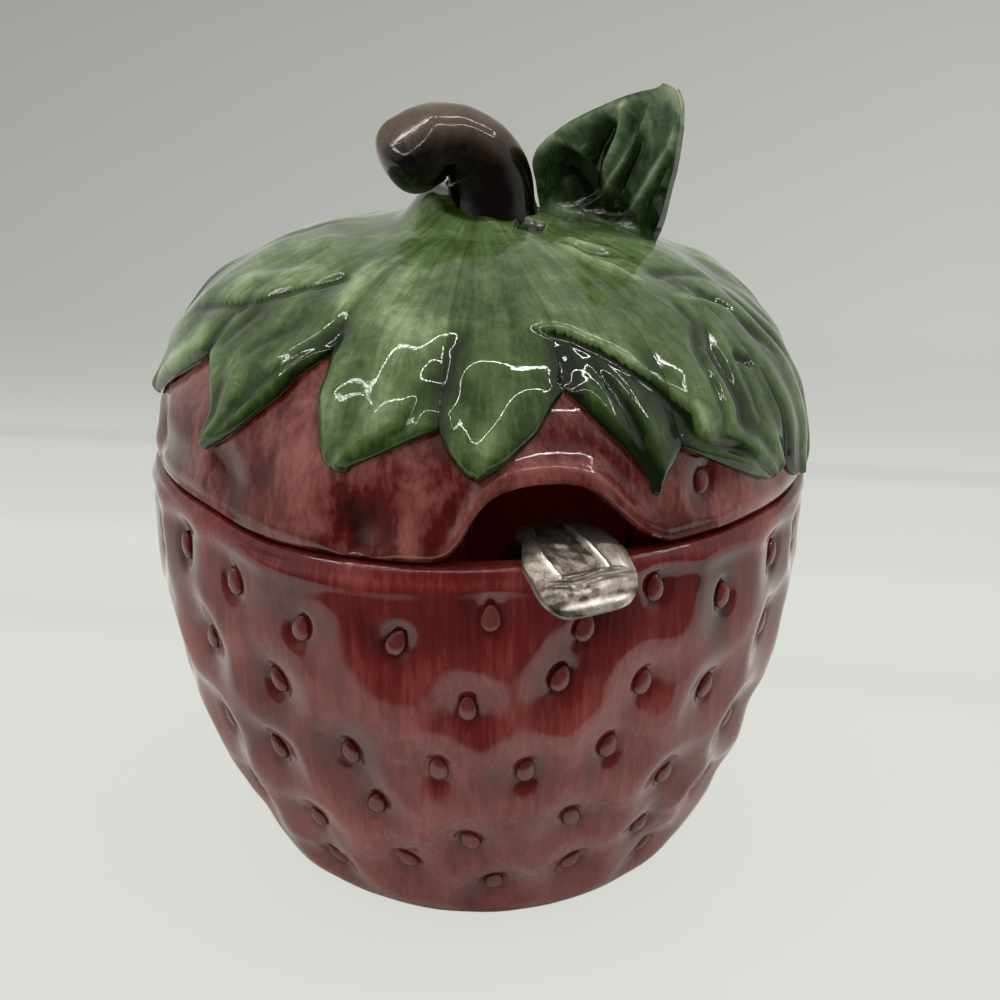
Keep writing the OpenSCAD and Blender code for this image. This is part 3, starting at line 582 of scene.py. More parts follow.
lid_way = way_down_to(seat_z)
around = np.radians(np.concatenate([np.arange(-23, 20, 0.3), np.linspace(20, 337, 396)[:-1]]))
x, front = lid_r * np.sin(around), np.cos(around) > 0
edge_z = blurred(seat_z + np.where(front, np.interp(x, arch[:, 0], arch[:, 1]), 0),
                 (0.06, 0.12, 0.2, 0.24, 0.2, 0.12, 0.06))
edge_s = way_down_to(edge_z)
down = np.linspace(0.02, 1, 96)[:, None] ** 0.9 * (edge_s - edge_round)
to_edge = edge_s - edge_round - down
skin_points, skin_r = on_lid(around, down, 0), off_lid(down, 0)[0]
lid_dip, lid_moat = np.zeros((2, *down.shape))
places = []
for angle, drop, clear in lid_seed_places:
    angle, s, tilt = math.radians(angle), way_down_to(seat_z + drop * lid_shoulder_r), rng.uniform(-0.3, 0.3)
    across, up = angle_from(angle, around) * skin_r, s - down
    lid_dip += (1 - np.minimum(np.hypot(across / lid_hollow_half_w, up / lid_hollow_half_h), 1) ** 2) ** 2
    lid_moat = np.maximum(lid_moat, clear * bell(np.maximum(0.9, seed_share(across, up, tilt)), 0.9, 0.42))
    middle = on_lid(angle, s, -lid_seed_sink - faint_sink * (1 - clear))
    middle = middle + round_axis(0.35 * ripple(middle, 26, 11), angle, 0)
    places.append(seed_pose(middle, angle, lid_lean(s), tilt))
mark_tones, mark_lifts = 0, 0
for angle, way_down, half_across, half_down, tone_on, lift_on in lid_marks:
    across = angle_from(math.radians(angle), around) * off_lid(way_down, 0)[0]
    spot = np.exp(-np.abs(across / half_across) ** 2.5 - np.abs((down - way_down) / half_down) ** 2.5)
    mark_tones, mark_lifts = mark_tones + mark_tone * tone_on * spot, mark_lifts + mark_lift * lift_on * spot
bare = smooth(0.5 * lid_way, 0.75 * lid_way, down)
in_arch = smooth(0.5, 3.0, edge_z - seat_z)
lip, lip_high = bell(to_edge, 1.0, 1.2), 0.25 + 0.5 * in_arch
lid_waves = 0.35 * ripple(skin_points, 26, 11) + 0.22 * ripple(skin_points, 9, 12)
lift = bare * (lid_waves - 0.15 + mark_lifts - 1.2 * np.minimum(lid_dip, 1) - 0.45 * lid_moat) \
    + lip * lip_high - 0.35 * bell(to_edge, 5, 2) * (0.4 + in_arch)
# Tone: darker in the hollows and round the seeds and paler on the rises, where the glaze pools and thins,
# strengthened as painted shade and painted highlight; the lip round the edge is painted paler as a highlight, less so
# in the arch.
lid_glaze_and_painted_light = bare * (0.5 - 1.1 * np.minimum(lid_dip, 1) - lid_moat + 1.2 * lid_waves + mark_tones) \
    + lip * (0.25 - 0.15 * in_arch)
rows = list(on_lid(around, down, np.minimum(lift, 0.02 + 2 * bare)))
tones = list(lid_glaze_and_painted_light)


def add_row(r, z, tone):
    """One more row round the lid, with its tone on it."""
    rows.append(round_axis(r, around, z))
    tones.append(np.full(len(around), tone))


# Over the edge: a quarter round, the land or the cut face, the flange, and the inside.
# In the arch the flange's faces shrink to the cut's inner edge.
edge_r = off_lid(edge_s, 0)[0]
flange = blurred(np.where(front & (x > flange_cut_left) & (x < flange_cut_right), 0.0, 1.0))
flange_root = flange_root_w * flange
inner_top_r = off_lid(edge_s - flange_root, -lid_wall)[0]
for a in np.radians((25, 50, 72, 90)):
    add_row(edge_r + 0.45 * lip_high * math.cos(a) - edge_round * (1 - math.cos(a)),
            edge_z + edge_round * (1 - math.sin(a)), 0.5)
land_r = blurred(np.where(flange > 0.5, flange_out_r + 0.4, inner_top_r + 1.3))
# painted shade: the land, the cut face, the flange and the inside get a darker tone than the round
add_row(0.5 * (edge_r - edge_round) + 0.5 * land_r, edge_z, -0.2)
add_row(land_r, edge_z, -0.3)
bottom_z = edge_z + (seat_z - flange_h - edge_z) * flange
for share in (0.15, 0.5, 0.9):
    add_row(land_r - 0.4 * flange - 0.5 * share * (1 - flange), edge_z + (bottom_z - edge_z) * share, -0.3)
inner_r = inner_top_r + (flange_in_r - inner_top_r) * flange
for side in (1, -1):
    add_row(0.5 * (land_r - 0.4 * flange + inner_r) + side * (0.1 + 0.5 * flange), bottom_z, -0.3)
inner_top_z = np.where(flange > 0.5, seat_z + flange_t, edge_z + 0.9 * (1 - flange))
for share in (0.1, 0.5, 0.9):
    add_row(inner_r, bottom_z + (inner_top_z - bottom_z) * share, -0.3)
for share in np.linspace(1, 0.06, 26):
    add_row(*off_lid(share * (edge_s - flange_root - 0.5), -lid_wall), -0.2)
lid_red = red_glaze("clear glaze over brushed red lid", "#250403", "#46100d", "#7c4842", (1, 1, 0.4), 0.9, 1.0)
add_turned("lid_shell", settle(np.stack(rows)), (0, 0, lid_top_z), (0, 0, lid_top_z - lid_wall), np.stack(tones),
           [lid_red], "lid", "red_glaze", "lid")
lay_seeds("lid_seeds", places, "lid", seed_red)


# Calyx: a crown and fourteen leaves pressed from thin clay and luted on with slip, their
# edges rounded off with a wet finger. Green underglaze is brushed from the stem outwards.
crown_r, crown_in_r, crown_top_z, crown_bed = 13.8, 6.6, lid_top_z + 3.2, 0.12
leaf_thick, leaf_blunt, leaf_tip_round, leaf_tip_thin, leaf_bed = 2.15, 1.0, 1.3, 0.76, 0.1
leaf_edge, leaf_edge_round, groove_half_w, leaf_rows, leaf_columns = 0.3, 2.5, 1.7, 124, 62
flat_x, flat_y, flat_half, flat_soft = 5.6, -8.4, 2, 0.3
# Each leaf's tip: its angle, how far down the lid's side it reaches, and how slowly its
# left and right edges run in
leaf_tips = [
    (-97, 0.86, 0.7, 1), (-65.5, 0.869, 2.4, 0.8), (-36, 0.83, 0.35, 1.2), (-14.5, 0.832, 0.55, 0.72),
    (15, 0.89, 1.2, 1.05), (39.7, 0.925, 0.85, 0.5), (54, 0.965, 0.5, 0.6), (86, 0.9, 0.5, 1),
    (112, 0.86, 0.45, 0.8), (138, 0.91, 1.1, 0.6), (165, 0.85, 0.5, 0.9), (191, 0.89, 0.5, 1),
    (216, 0.86, 0.9, 0.4), (240, 0.9, 1, 0.6),
]
# The clefts to the right of each leaf: angle, and how far down the side
leaf_clefts = [
    (-76, 0.674), (-45.3, 0.583), (-20.9, 0.735), (1.5, 0.656), (20.4, 0.804), (47, 0.905),
    (73, 0.74), (100, 0.68), (126, 0.73), (152, 0.64), (178, 0.7), (204, 0.66), (229, 0.7),
    (251, 0.68),
]
# How deep the folds of each leaf are, how many run down it, and how much it swells
leaf_folds = [
    (0.3, 2.2, 0.1), (0.2, 2.6, 0.35), (0.2, 2.1, 1.0), (0.18, 1.9, 1.0), (0.15, 1.2, 0.5), (0.25, 3.4, 0.5),
    (0.3, 2.5, 0.5), (0.3, 2.4, 0.5), (0.25, 2.0, 0.6), (0.3, 2.2, 0.5), (0.25, 1.8, 0.7), (0.3, 2.3, 0.5),
    (0.25, 1.9, 0.7), (0.3, 2.2, 0.5),
]
# How much darker each leaf is
leaf_darker = (-0.25, 0, -0.15, 0.3, 0.6, 0.2, 0.4, 0.1, 0.3, 0, 0.25, 0.05, 0.3, 0.1)
# Folds pinched across the leaves: points (angle, way down in mm), then how deep the
# groove is (below 0 it is a ridge), its half width, and how far the upper side laps over
pinched = [
    ([(-5, 36.8), (1.1, 38.2), (5, 39.3), (9.9, 42.4), (13.6, 45.2), (17.3, 47.9), (20.3, 50.8), (22.9, 53.3),
      (23.4, 57)], 0, 1, 0.95),
    ([(-100, 46), (-90.8, 44.2), (-81.4, 41.4), (-72.7, 38.6), (-67.7, 35), (-62, 31.7), (-57, 27)], 0.25, 1.2, 0.6),
    ([(-92, 40), (-78.8, 35.1), (-69.7, 30.6), (-60.6, 27.3)], -0.35, 1.7, 0),
    ([(-72.6, 49), (-71.4, 45), (-69.9, 41), (-69.2, 37)], 0.5, 1.3, 0),
    ([(-64, 58.9), (-60.2, 53.9), (-56.5, 50.3), (-52.7, 45.8), (-47.9, 41.4), (-42, 37)], 0.4, 1.2, 0.25),
    ([(-65, 49.5), (-62.5, 45.8), (-59, 42.6), (-53, 39.5)], 0.3, 0.9, 0),
    ([(-55, 21), (-48.4, 33.6), (-44.3, 42)], -0.45, 1.7, 0),
    ([(-36.5, 58.4), (-31.2, 56.2), (-26.5, 52.8), (-24.5, 48.9), (-24, 44)], 0.3, 0.9, 0),
    ([(-21.3, 51), (-20.1, 43.7), (-19, 39.5), (-18.2, 35)], 0.85, 2.4, 0),
    ([(1.2, 48), (2.9, 44.2), (2.4, 40)], 0.5, 1.4, 0),
    ([(6.4, 42.5), (9.6, 47.8), (11.4, 52.1), (13, 57), (14.3, 62)], 0.6, 1.0, 0),
    ([(3.9, 45.5), (6.6, 50.2), (9.4, 55), (11.8, 60)], -0.3, 1.0, 0),
    ([(34.3, 60.5), (34.6, 56.5), (35.7, 50.7), (36.8, 45.4), (41, 40.6), (46, 34)], 0.55, 1.2, 0),
    ([(29.5, 58), (30.5, 51), (32, 45), (36, 39)], 0.4, 0.9, 0),
    ([(40, 60), (40.2, 54), (41.5, 49), (44, 44)], 0.35, 0.9, 0),
    ([(42.1, 46.8), (44.5, 49), (46.8, 50.3)], 0.75, 0.8, 0),
    ([(21, 56.2), (25.3, 58.2), (31.3, 60), (37, 62.3)], 0.55, 1.0, 0),
    ([(48, 33), (53.9, 39.5), (55.4, 43.8), (56.7, 48.8), (56.4, 55)], 0.6, 1.2, 0.2),
    ([(62, 38), (63.5, 46), (64.5, 56)], 0.45, 1.1, 0),
    ([(40.4, 14.6), (36.5, 18.5), (41, 21.2), (46.4, 22.9), (52, 25)], -0.35, 0.8, 0),
    ([(34, 16.5), (35, 21), (41, 23.4), (48, 26)], 0.4, 0.8, 0),
    ([(26.5, 16), (29, 22.2), (32.8, 25.4), (34.4, 29.6), (36, 33)], -0.4, 0.8, 0),
    ([(37.9, 29.4), (50.8, 31.3), (61.9, 34.9), (63.2, 39)], 0.4, 0.9, 0),
    ([(38, 35), (47.6, 38.6), (53.9, 42.4), (58.5, 45.4)], -0.4, 0.9, 0),
    ([(37.2, 33.8), (37.3, 40.7), (33.4, 44.5), (30.7, 49.5)], 0.35, 1.1, 0),
    ([(-112, 18), (-110.6, 26.9), (-108.3, 32.2), (-107, 38)], -0.35, 1.1, 0),
    ([(84, 40), (86, 50), (87, 60)], 0.45, 1.1, 0), ([(111, 38), (112, 48), (112, 57)], 0.4, 1.2, 0),
    ([(136, 40), (138, 50), (138.5, 61)], 0.5, 1.1, 0), ([(164, 38), (165, 48), (164, 56)], 0.4, 1.2, 0),
    ([(189, 38), (191, 49), (192, 59)], 0.45, 1.1, 0), ([(215, 38), (216, 48), (215, 57)], 0.4, 1.2, 0),
    ([(239, 38), (240, 49), (241, 60)], 0.45, 1.1, 0),
    ([(92, 46), (97, 41), (104, 36)], 0.35, 1.1, 0.3), ([(122, 45), (131, 39), (141, 34)], 0.3, 1.1, 0.35),
    ([(172, 44), (184, 38), (198, 35)], 0.3, 1.2, 0.4), ([(224, 44), (233, 38), (244, 33)], 0.3, 1.1, 0.35),
]


def near_line(x, y, line):
    """Distance of points to a bent line, how far along it they are, and which side they are on."""
    best, way_on, upper = np.full(x.shape, 99.0), np.zeros(x.shape), np.zeros(x.shape)
    for k in range(len(line) - 1):
        (x0, y0), (dx, dy) = line[k], line[k + 1] - line[k]
        t = np.clip(((x - x0) * dx + (y - y0) * dy) / (dx * dx + dy * dy), 0, 1)
        off_x, off_y = x - x0 - t * dx, y - y0 - t * dy
        distance = np.hypot(off_x, off_y)
        closer = distance < best
        best = np.where(closer, distance, best)
        way_on = np.where(closer, (k + t) / (len(line) - 1), way_on)
        upper = np.where(closer, np.where(dx * off_y - dy * off_x < 0, 1, 0), upper)
    return best, way_on, upper


def pinch(angle, s):
    """Height and tone that the pinched folds add at an angle in degrees and a way down: darker in a groove, with a
    painted highlight along a lapped edge and a painted shadow on the leaf below it.
    """
    rise, tone = np.zeros((2, *angle.shape))
    for line, deep, wide, lap in pinched:
        line = np.array(line, float)
        radius = off_lid(line[:, 1].mean(), 0)[0]
        line[:, 0] = np.radians(line[:, 0]) * radius
        best, way_on, upper = near_line(np.radians(angle) * radius, s, line)
        ends = smooth(0, 0.25, way_on) * (1 - smooth(0.55, 1, way_on)) if lap < 0.5 \
            else smooth(0, 0.15, way_on) * (1 - smooth(0.93, 1, way_on))
        groove = deep * bell(best, 0, wide)
        rise += ends * (-1.3 * groove + upper * lap * np.tanh(best / 0.9) * np.exp(-best / 9)
                        - (1 - upper) * 0.7 * lap * np.tanh(best / 0.6) * np.exp(-best / 4))
        # painted light: a highlight on the lapping side and a shadow painted on the leaf below
        tone += ends * (-1.6 * groove + lap * upper * 0.7 * bell(best, 1, 0.9)
                        - lap * (1 - upper) * 1.7 * np.exp(-best / 2))
    return rise, tone


def add_sheet(name, over, under, tones, under_tone, material, body, node, key="glaze"):
    """A top grid and an under grid, as a piece with a border between them."""
    rows, columns = over.shape[:2]
    i, j = np.meshgrid(np.arange(rows - 1), np.arange(columns - 1), indexing="ij")
    top = np.stack([i * columns + j, (i + 1) * columns + j, (i + 1) * columns + j + 1, i * columns + j + 1], -1)
    top = top.reshape(-1, 4)
    ring = np.concatenate([
        np.arange(columns), np.arange(1, rows) * columns + columns - 1,
        (rows - 1) * columns + np.arange(columns - 2, -1, -1), np.arange(rows - 2, 0, -1) * columns])
    after = np.roll(ring, -1)
    border = np.stack([ring, after, after + rows * columns, ring + rows * columns], -1)
    add_piece(name, np.concatenate([over.reshape(-1, 3), under.reshape(-1, 3)]),
              [top, top[:, ::-1] + rows * columns, border], [material], body, node,
              np.concatenate([tones.ravel(), np.full(tones.size, under_tone)]), key)


# Clear-glazed green underglaze: streaks run out from the stem, yellow-green where the
# brush was dry. The tone on the mesh makes it nearly black along edges and grooves, where
# the glaze pools, strengthened as painted shade, and pale on crests and lapped edges as
# painted highlight.
def green_glaze(name, pooled_and_shaded, dark, mid, dry_and_highlit):
    material, tree = new_material(name)
    place = add_node(tree, "ShaderNodeTexCoord").outputs["Object"]
    flat = add_node(tree, "ShaderNodeVectorMath", {0: place, 1: (1, 1, 0)}, operation="MULTIPLY")
    round_way = add_node(tree, "ShaderNodeVectorMath", {0: flat}, operation="NORMALIZE")
    high = add_node(tree, "ShaderNodeVectorMath", {0: place, 1: (2, 2, 6)}, operation="MULTIPLY")
    streak_way = add_node(tree, "ShaderNodeVectorMath", {0: round_way, 1: high}, operation="ADD")
    fine = add_node(tree, "ShaderNodeTexNoise", {
        "Vector": streak_way, "Scale": 42, "Detail": 5, "Roughness": 0.65, "Distortion": 0.25})
    broad = add_node(tree, "ShaderNodeTexNoise", {
        "Vector": streak_way, "Scale": 9, "Detail": 3, "Roughness": 0.6, "Distortion": 0.5})
    cloud = add_node(tree, "ShaderNodeTexNoise", {"Vector": place, "Scale": 70, "Detail": 3})
    dabs = add_node(tree, "ShaderNodeTexNoise", {
        "Vector": place, "Scale": 300, "Detail": 4, "Roughness": 0.7, "Distortion": 0.8})
    height = add_node(tree, "ShaderNodeAttribute", attribute_name="glaze").outputs["Fac"]
    # round the stem the streaks are too close together to be told apart
    spread = add_node(tree, "ShaderNodeVectorMath", {0: flat}, operation="LENGTH").outputs["Value"]
    streaks = add_node(tree, "ShaderNodeMapRange", {
        "Value": spread, "From Min": 0.008, "From Max": 0.03, "To Min": 0.14, "To Max": 0.34})
    centred = add_node(tree, "ShaderNodeMath", {0: fine, 1: -0.5}, operation="ADD")
    total = add_node(tree, "ShaderNodeMath", {0: centred, 1: streaks, 2: -0.175}, operation="MULTIPLY_ADD")
    for source, weight in ((broad, 0.4), (cloud, 0.5), (dabs, 0.45), (height, 0.33)):
        total = add_node(tree, "ShaderNodeMath", {0: source, 1: weight, 2: total}, operation="MULTIPLY_ADD")
    tones = add_node(tree, "ShaderNodeValToRGB", {0: total}, stops=(
        (0.12, pooled_and_shaded), (0.36, dark), (0.58, mid), (1.0, dry_and_highlit)))
    dimples = add_node(tree, "ShaderNodeTexNoise", {"Vector": place, "Scale": 300, "Detail": 2})
    skin = add_node(tree, "ShaderNodeMath", {0: fine, 1: 0.5, 2: dimples}, operation="MULTIPLY_ADD")
    gloss = add_node(tree, "ShaderNodeMapRange", {"Value": cloud, "To Min": 0.02, "To Max": 0.06})
    lay_surface(tree, tones, skin, 0.06, 0.0005, Roughness=gloss, IOR=1.46)
    return material


leaf_green = green_glaze("clear glaze over brushed green", "#0b1404", "#26350f", "#495b35", "#97a57e")
start = crown_r + 0.04
v = np.sin(np.linspace(-1, 1, leaf_columns) * math.pi / 2)[None, :]
for number, (tip, folds) in enumerate(zip(leaf_tips, leaf_folds)):
    left, right = leaf_clefts[number - 1], leaf_clefts[number]
    if number == 0:
        left = (left[0] - 360, left[1])
    fold_deep, fold_count, swell = folds
    tip_s = tip[1] * lid_way
    s = (start + (tip_s - start) * np.sin(np.radians(89.3) * np.linspace(0, 1, leaf_rows)))[:, None]
    radius, along = off_lid(s, 0)[0], (s - start) / (tip_s - start)
    blunt = 0.05 + leaf_blunt * np.sqrt(1 - (1 - np.clip((tip_s - s) / leaf_tip_round, 0, 1)) ** 2)
    sides = []
    for cleft, side, power in ((left, 1, tip[2]), (right, -1, tip[3])):
        past = s - cleft[1] * lid_way
        spread = (1 - np.clip(past / (tip_s - cleft[1] * lid_way), 0, 1)) ** power
        wobble = 0.35 * np.sin(s * 0.75 + number * 2.1 + side) * smooth(0, 6, past) * spread
        half = side * np.radians(tip[0] - cleft[0]) * radius * spread - 0.02 - side * wobble
        sides.append(tip[0] - side * np.degrees(np.maximum(half, blunt) / radius))
    degrees = sides[0] + (sides[1] - sides[0]) * (v + 1) / 2
    angle, width = np.radians(degrees), np.radians(sides[1] - sides[0]) * radius
    drop, groove = 0, 0
    for cleft, distance in ((left, (v + 1) / 2 * width), (right, (1 - v) / 2 * width)):
        past = s - cleft[1] * lid_way
        free = smooth(-1.5, 2.5, past)
        drop = drop + free * (1 - np.sqrt(1 - (1 - np.clip(distance / leaf_edge_round, 0, 1)) ** 2))
        groove = groove + bell(distance, 0, groove_half_w) * np.exp(-np.maximum(0, -past) / 6) * (1 - free)
    drop = np.clip(drop, 0, 1)
    first_cleft = min(left[1], right[1]) * lid_way
    lobe = smooth(first_cleft - 15, first_cleft + 5, s)
    fold = np.cos(math.pi * fold_count * v + 0.9 * np.sin(3.1 * along + number)) * (1 - v ** 4)
    flat_points = on_lid(angle, s, 0)
    rough = smooth(0, 8, s - start) * sum(
        high * ripple(flat_points, size, seed) for high, size, seed in ((0.45, 20, 21), (0.22, 9, 22), (0.05, 4, 23)))
    pinch_rise, pinch_shade_and_highlight = pinch(degrees, s)
    swollen = 1.5 * bell((degrees + 290) % 360 - 180, 2, 36) * smooth(14, 26, s) * (1 - smooth(42, 58, s)) \
        - 0.9 * bell(degrees, 76, 24) * smooth(24, 44, s)
    body = leaf_thick - leaf_tip_thin * along ** 2 + lobe * (swell * (1 - v ** 2) ** 0.8 + fold_deep * fold) \
        + rough + swollen + pinch_rise - 0.7 * groove
    top = np.maximum(leaf_edge + (body - leaf_edge) * (1 - drop), leaf_edge)
    # Tone: lighter on the crests of the folds and ripples and darker in their troughs and the grooves, where the
    # glaze thins and pools, strengthened as painted highlight and painted shade; the rounded edges and the tip are
    # painted darker as shade.
    tone = 0.1 + lobe * (fold * fold_deep * 4 / 3 - leaf_darker[number]) + 0.7 * rough + 0.9 * pinch_shade_and_highlight \
        - 1.6 * groove - 1.5 * drop * (drop < 0.97) - 0.3 * smooth(0.78, 1.0, along)
    add_sheet("leaf_%02d" % (number + 1), settle(on_lid(angle, s, top)), settle(on_lid(angle, s, leaf_bed + 0 * top)),
              tone, 0, leaf_green, "lid", "calyx_leaf_%02d" % (number + 1))

# The crown rises round the stem's root, highest behind its left side, and has a flat spot
# pressed in beside it. Its rows run from the inner top edge down to the lid.
turn = np.linspace(0, 2 * math.pi, 160, endpoint=False)
lean_to = np.cos(turn - math.radians(-125))
rows, tones = [], []
for share in np.linspace(1, 0, 26):
    r = crown_r + (crown_in_r - crown_r) * share
    rise = (crown_top_z - off_lid(r, 0)[1] - leaf_thick) * smooth(0, 1, share) ** 0.9
    rise = rise * (0.5 + 0.5 * smooth(-0.6, 0.6, lean_to))
    back = 3.4 * smooth(0.1, 1.0, share) * np.clip(lean_to, 0, 1) ** 1.5
    x, y = r * np.sin(turn) - flat_x, -r * np.cos(turn) - flat_y
    flat = 1
    for away in (0.9 * x - 0.44 * y, 0.44 * x + 0.9 * y):
        flat = flat * (1 - smooth(flat_half - flat_soft, flat_half + flat_soft, np.abs(away)))
    ribs = (0.16 * np.cos(5 * turn + 1.2) + 0.1 * np.cos(9 * turn)) * smooth(0, 0.5, share)
    rows.append(on_lid(turn, lid_dome_r * math.asin(r / lid_dome_r), leaf_thick + rise + back - 0.9 * flat + ribs))
    # Tone: painted shade darkens it next to the stem's root; the rib crests are lighter and the flat spot darker.
    tones.append(0.2 + 1.2 * ribs - 0.8 * smooth(0.75, 1.0, share) - 1.2 * flat)
for share in (0.999, 0.4995):
    rows.append(on_lid(turn, crown_r * share, crown_bed))
    tones.append(0 * turn)
add_turned("calyx_crown_piece", np.stack(rows), rows[0].mean(0), (0, 0, lid_top_z + crown_bed), np.stack(tones),
           [leaf_green], "lid", "green_glaze", "calyx_crown")


# Stem: a thick roll of clay bent over by hand and stuck on the crown, its end left
# blunt. It is the knob that the lid is lifted by, under a dark brown glaze.
stem_root_r, stem_bend_r, stem_end_r, stem_rise, stem_reach, stem_offset = 6.4, 5.5, 6.3, 11, 13, 2.4
stem_shares = np.array([[0, 0], [0.03, 0.38], [0.18, 0.74], [0.47, 0.95], [0.76, 0.95], [1, 0.8]])
stem_turn, stem_sides, stem_bed = math.radians(181), 72, 0.05


def turned(points, angle):
    """Points turned about the pot's axis."""
    c, n = math.cos(angle), math.sin(angle)
    return points @ np.array([[c, n, 0], [-n, c, 0], [0, 0, 1]])


def through(points, steps):
    """A smooth line through points."""
    ends = np.concatenate([[2 * points[0] - points[1]], points, [2 * points[-1] - points[-2]]])
    line = []
    for k in range(len(points) - 1):
        a, b, c, d = ends[k:k + 4]
        for t in np.arange(steps) / steps:
            line.append(0.5 * (2 * b + (c - a) * t + (2 * a - 5 * b + 4 * c - d) * t * t
                               + (3 * b - a - 3 * c + d) * t ** 3))
    return np.array(line + [points[-1]])


line = through(stem_shares * (stem_reach, stem_rise), 16)
share = np.linspace(0, 1, len(line))
line[:, 1] -= 1.7 * np.exp(-share / 0.1)
heading = np.gradient(line, axis=0)
heading /= np.linalg.norm(heading, axis=1, keepdims=True)
heading[0] = (0, 1)
fat = np.where(share < 0.6, stem_root_r + (stem_bend_r - stem_root_r) * smooth(0, 0.6, share),
               stem_bend_r + (stem_end_r - stem_bend_r) * smooth(0.6, 1, share)) + 0.6 * bell(share, 0, 0.06)
rings = list(zip(line, heading, fat))
# the blunt end: a soft lip, then a nearly flat face
for forward, narrow in (
    (0.9, 0.995), (1.9, 0.96), (2.9, 0.89), (3.7, 0.79), (4.3, 0.66), (4.75, 0.5), (5.05, 0.33), (5.2, 0.16),
):
    rings.append((line[-1] + heading[-1] * forward, heading[-1], stem_end_r * narrow))
turn = np.linspace(0, 2 * math.pi, stem_sides, endpoint=False)
tube = []
for p, h, r in rings:
    web = 1 + 0.3 * np.clip(np.cos(turn), 0, 1) ** 3 * bell(h[1], 0.75, 0.3)
    out = r * web * np.cos(turn)
    tube.append(np.stack([p[0] + out * h[1], r * np.sin(turn), p[1] - out * h[0]], -1))
tube = np.array(tube)
middle = np.array([[p[0], 0, p[1]] for p, _, _ in rings])[:, None, :]
knobbly = 1 + 0.028 * ripple(tube, 9, 31) + 0.012 * ripple(tube, 3.5, 32)
tube = middle + (tube - middle) * knobbly[..., None]
# the thumb's flat on top of the end
press_way = np.array([0.5, 0.62, 0.6]) / np.linalg.norm([0.5, 0.62, 0.6])
pressed = np.maximum(0, (tube - [line[-1][0] + 0.6, 0, line[-1][1]]) @ press_way - 0.74 * stem_end_r)
tube = tube - (0.8 * pressed ** 2 / (pressed + 0.35))[..., None] * press_way

# Brown glaze: warm grey-brown to near black, with iron specks about 0.4 mm across. The
# stem's tone makes it lighter on top and near black underneath, as painted light and shade.
brown_glaze, tree = new_material("dark brown glaze")
place = add_node(tree, "ShaderNodeTexCoord").outputs["Object"]
specks = add_node(tree, "ShaderNodeTexNoise", {"Vector": place, "Scale": 1100, "Detail": 3, "Roughness": 0.7})
patches = add_node(tree, "ShaderNodeTexNoise", {"Vector": place, "Scale": 120, "Detail": 4, "Roughness": 0.6})
height = add_node(tree, "ShaderNodeAttribute", attribute_name="glaze").outputs["Fac"]
total = 0.0
for source, weight in ((specks, 0.35), (patches, 0.5), (height, 0.5)):
    total = add_node(tree, "ShaderNodeMath", {0: source, 1: weight, 2: total}, operation="MULTIPLY_ADD")
tones = add_node(tree, "ShaderNodeValToRGB", {0: total}, stops=(
    (0.25, "#070302"), (0.5, "#2c1f16"), (1.0, "#64544a")))
lay_surface(tree, tones, specks, 0.03, 0.0003, Roughness=0.1, IOR=1.46)

over = (tube - middle)[..., 2] / np.maximum(1, np.linalg.norm(tube - middle, axis=-1))
end_rings = (np.arange(len(rings)) > len(line))[:, None]
root = (1 - smooth(0.12, 0.4, np.linspace(0, 1, len(rings))))[:, None]
# painted shade: darker the more the surface faces down, on the lower part of the end and at the root under the bend
stem_tone = smooth(-0.35, 0.9, over) - 0.42 - 0.7 * end_rings * (1 - smooth(0.3, 0.95, over)) \
    - 0.95 * root * (1 - 0.6 * smooth(0.2, 0.9, over))
move = np.array([stem_offset, 0, 0])
root_point, end_point = ([p[0], 0, p[1]] for p in (rings[0][0], rings[-1][0] + 0.06 * heading[-1]))
placed = [turned(np.array(points) - move, stem_turn) + [0, 0, crown_top_z + stem_bed]
          for points in (tube, root_point, end_point)]
add_turned("stem_roll", *placed, stem_tone, [brown_glaze], "lid", "brown_glaze", "stem_knob")


# Standing leaf: a leaf turned up behind the stem, its left edge rolled forward over a
# deep hollow and its veins pinched up into ridges that run to the tip.
standing_h, standing_w, standing_t, standing_dist, standing_foot_h = 25, 27, 3.2, 20, 1.6
standing_angle, standing_facing = math.radians(93.5), math.radians(131)
# Its outline: the share of its height, and its left and right edges there
standing_edges = through(np.array([
    [0, -0.8, 0.72], [0.16, -0.87, 0.84], [0.31, -0.9, 0.9], [0.42, -0.76, 0.95], [0.5, -0.57, 0.99],
    [0.62, -0.27, 1.04], [0.77, 0.16, 1.08], [0.88, 0.5, 1.08], [0.95, 0.74, 1.06], [1, 0.84, 1]]), 8)
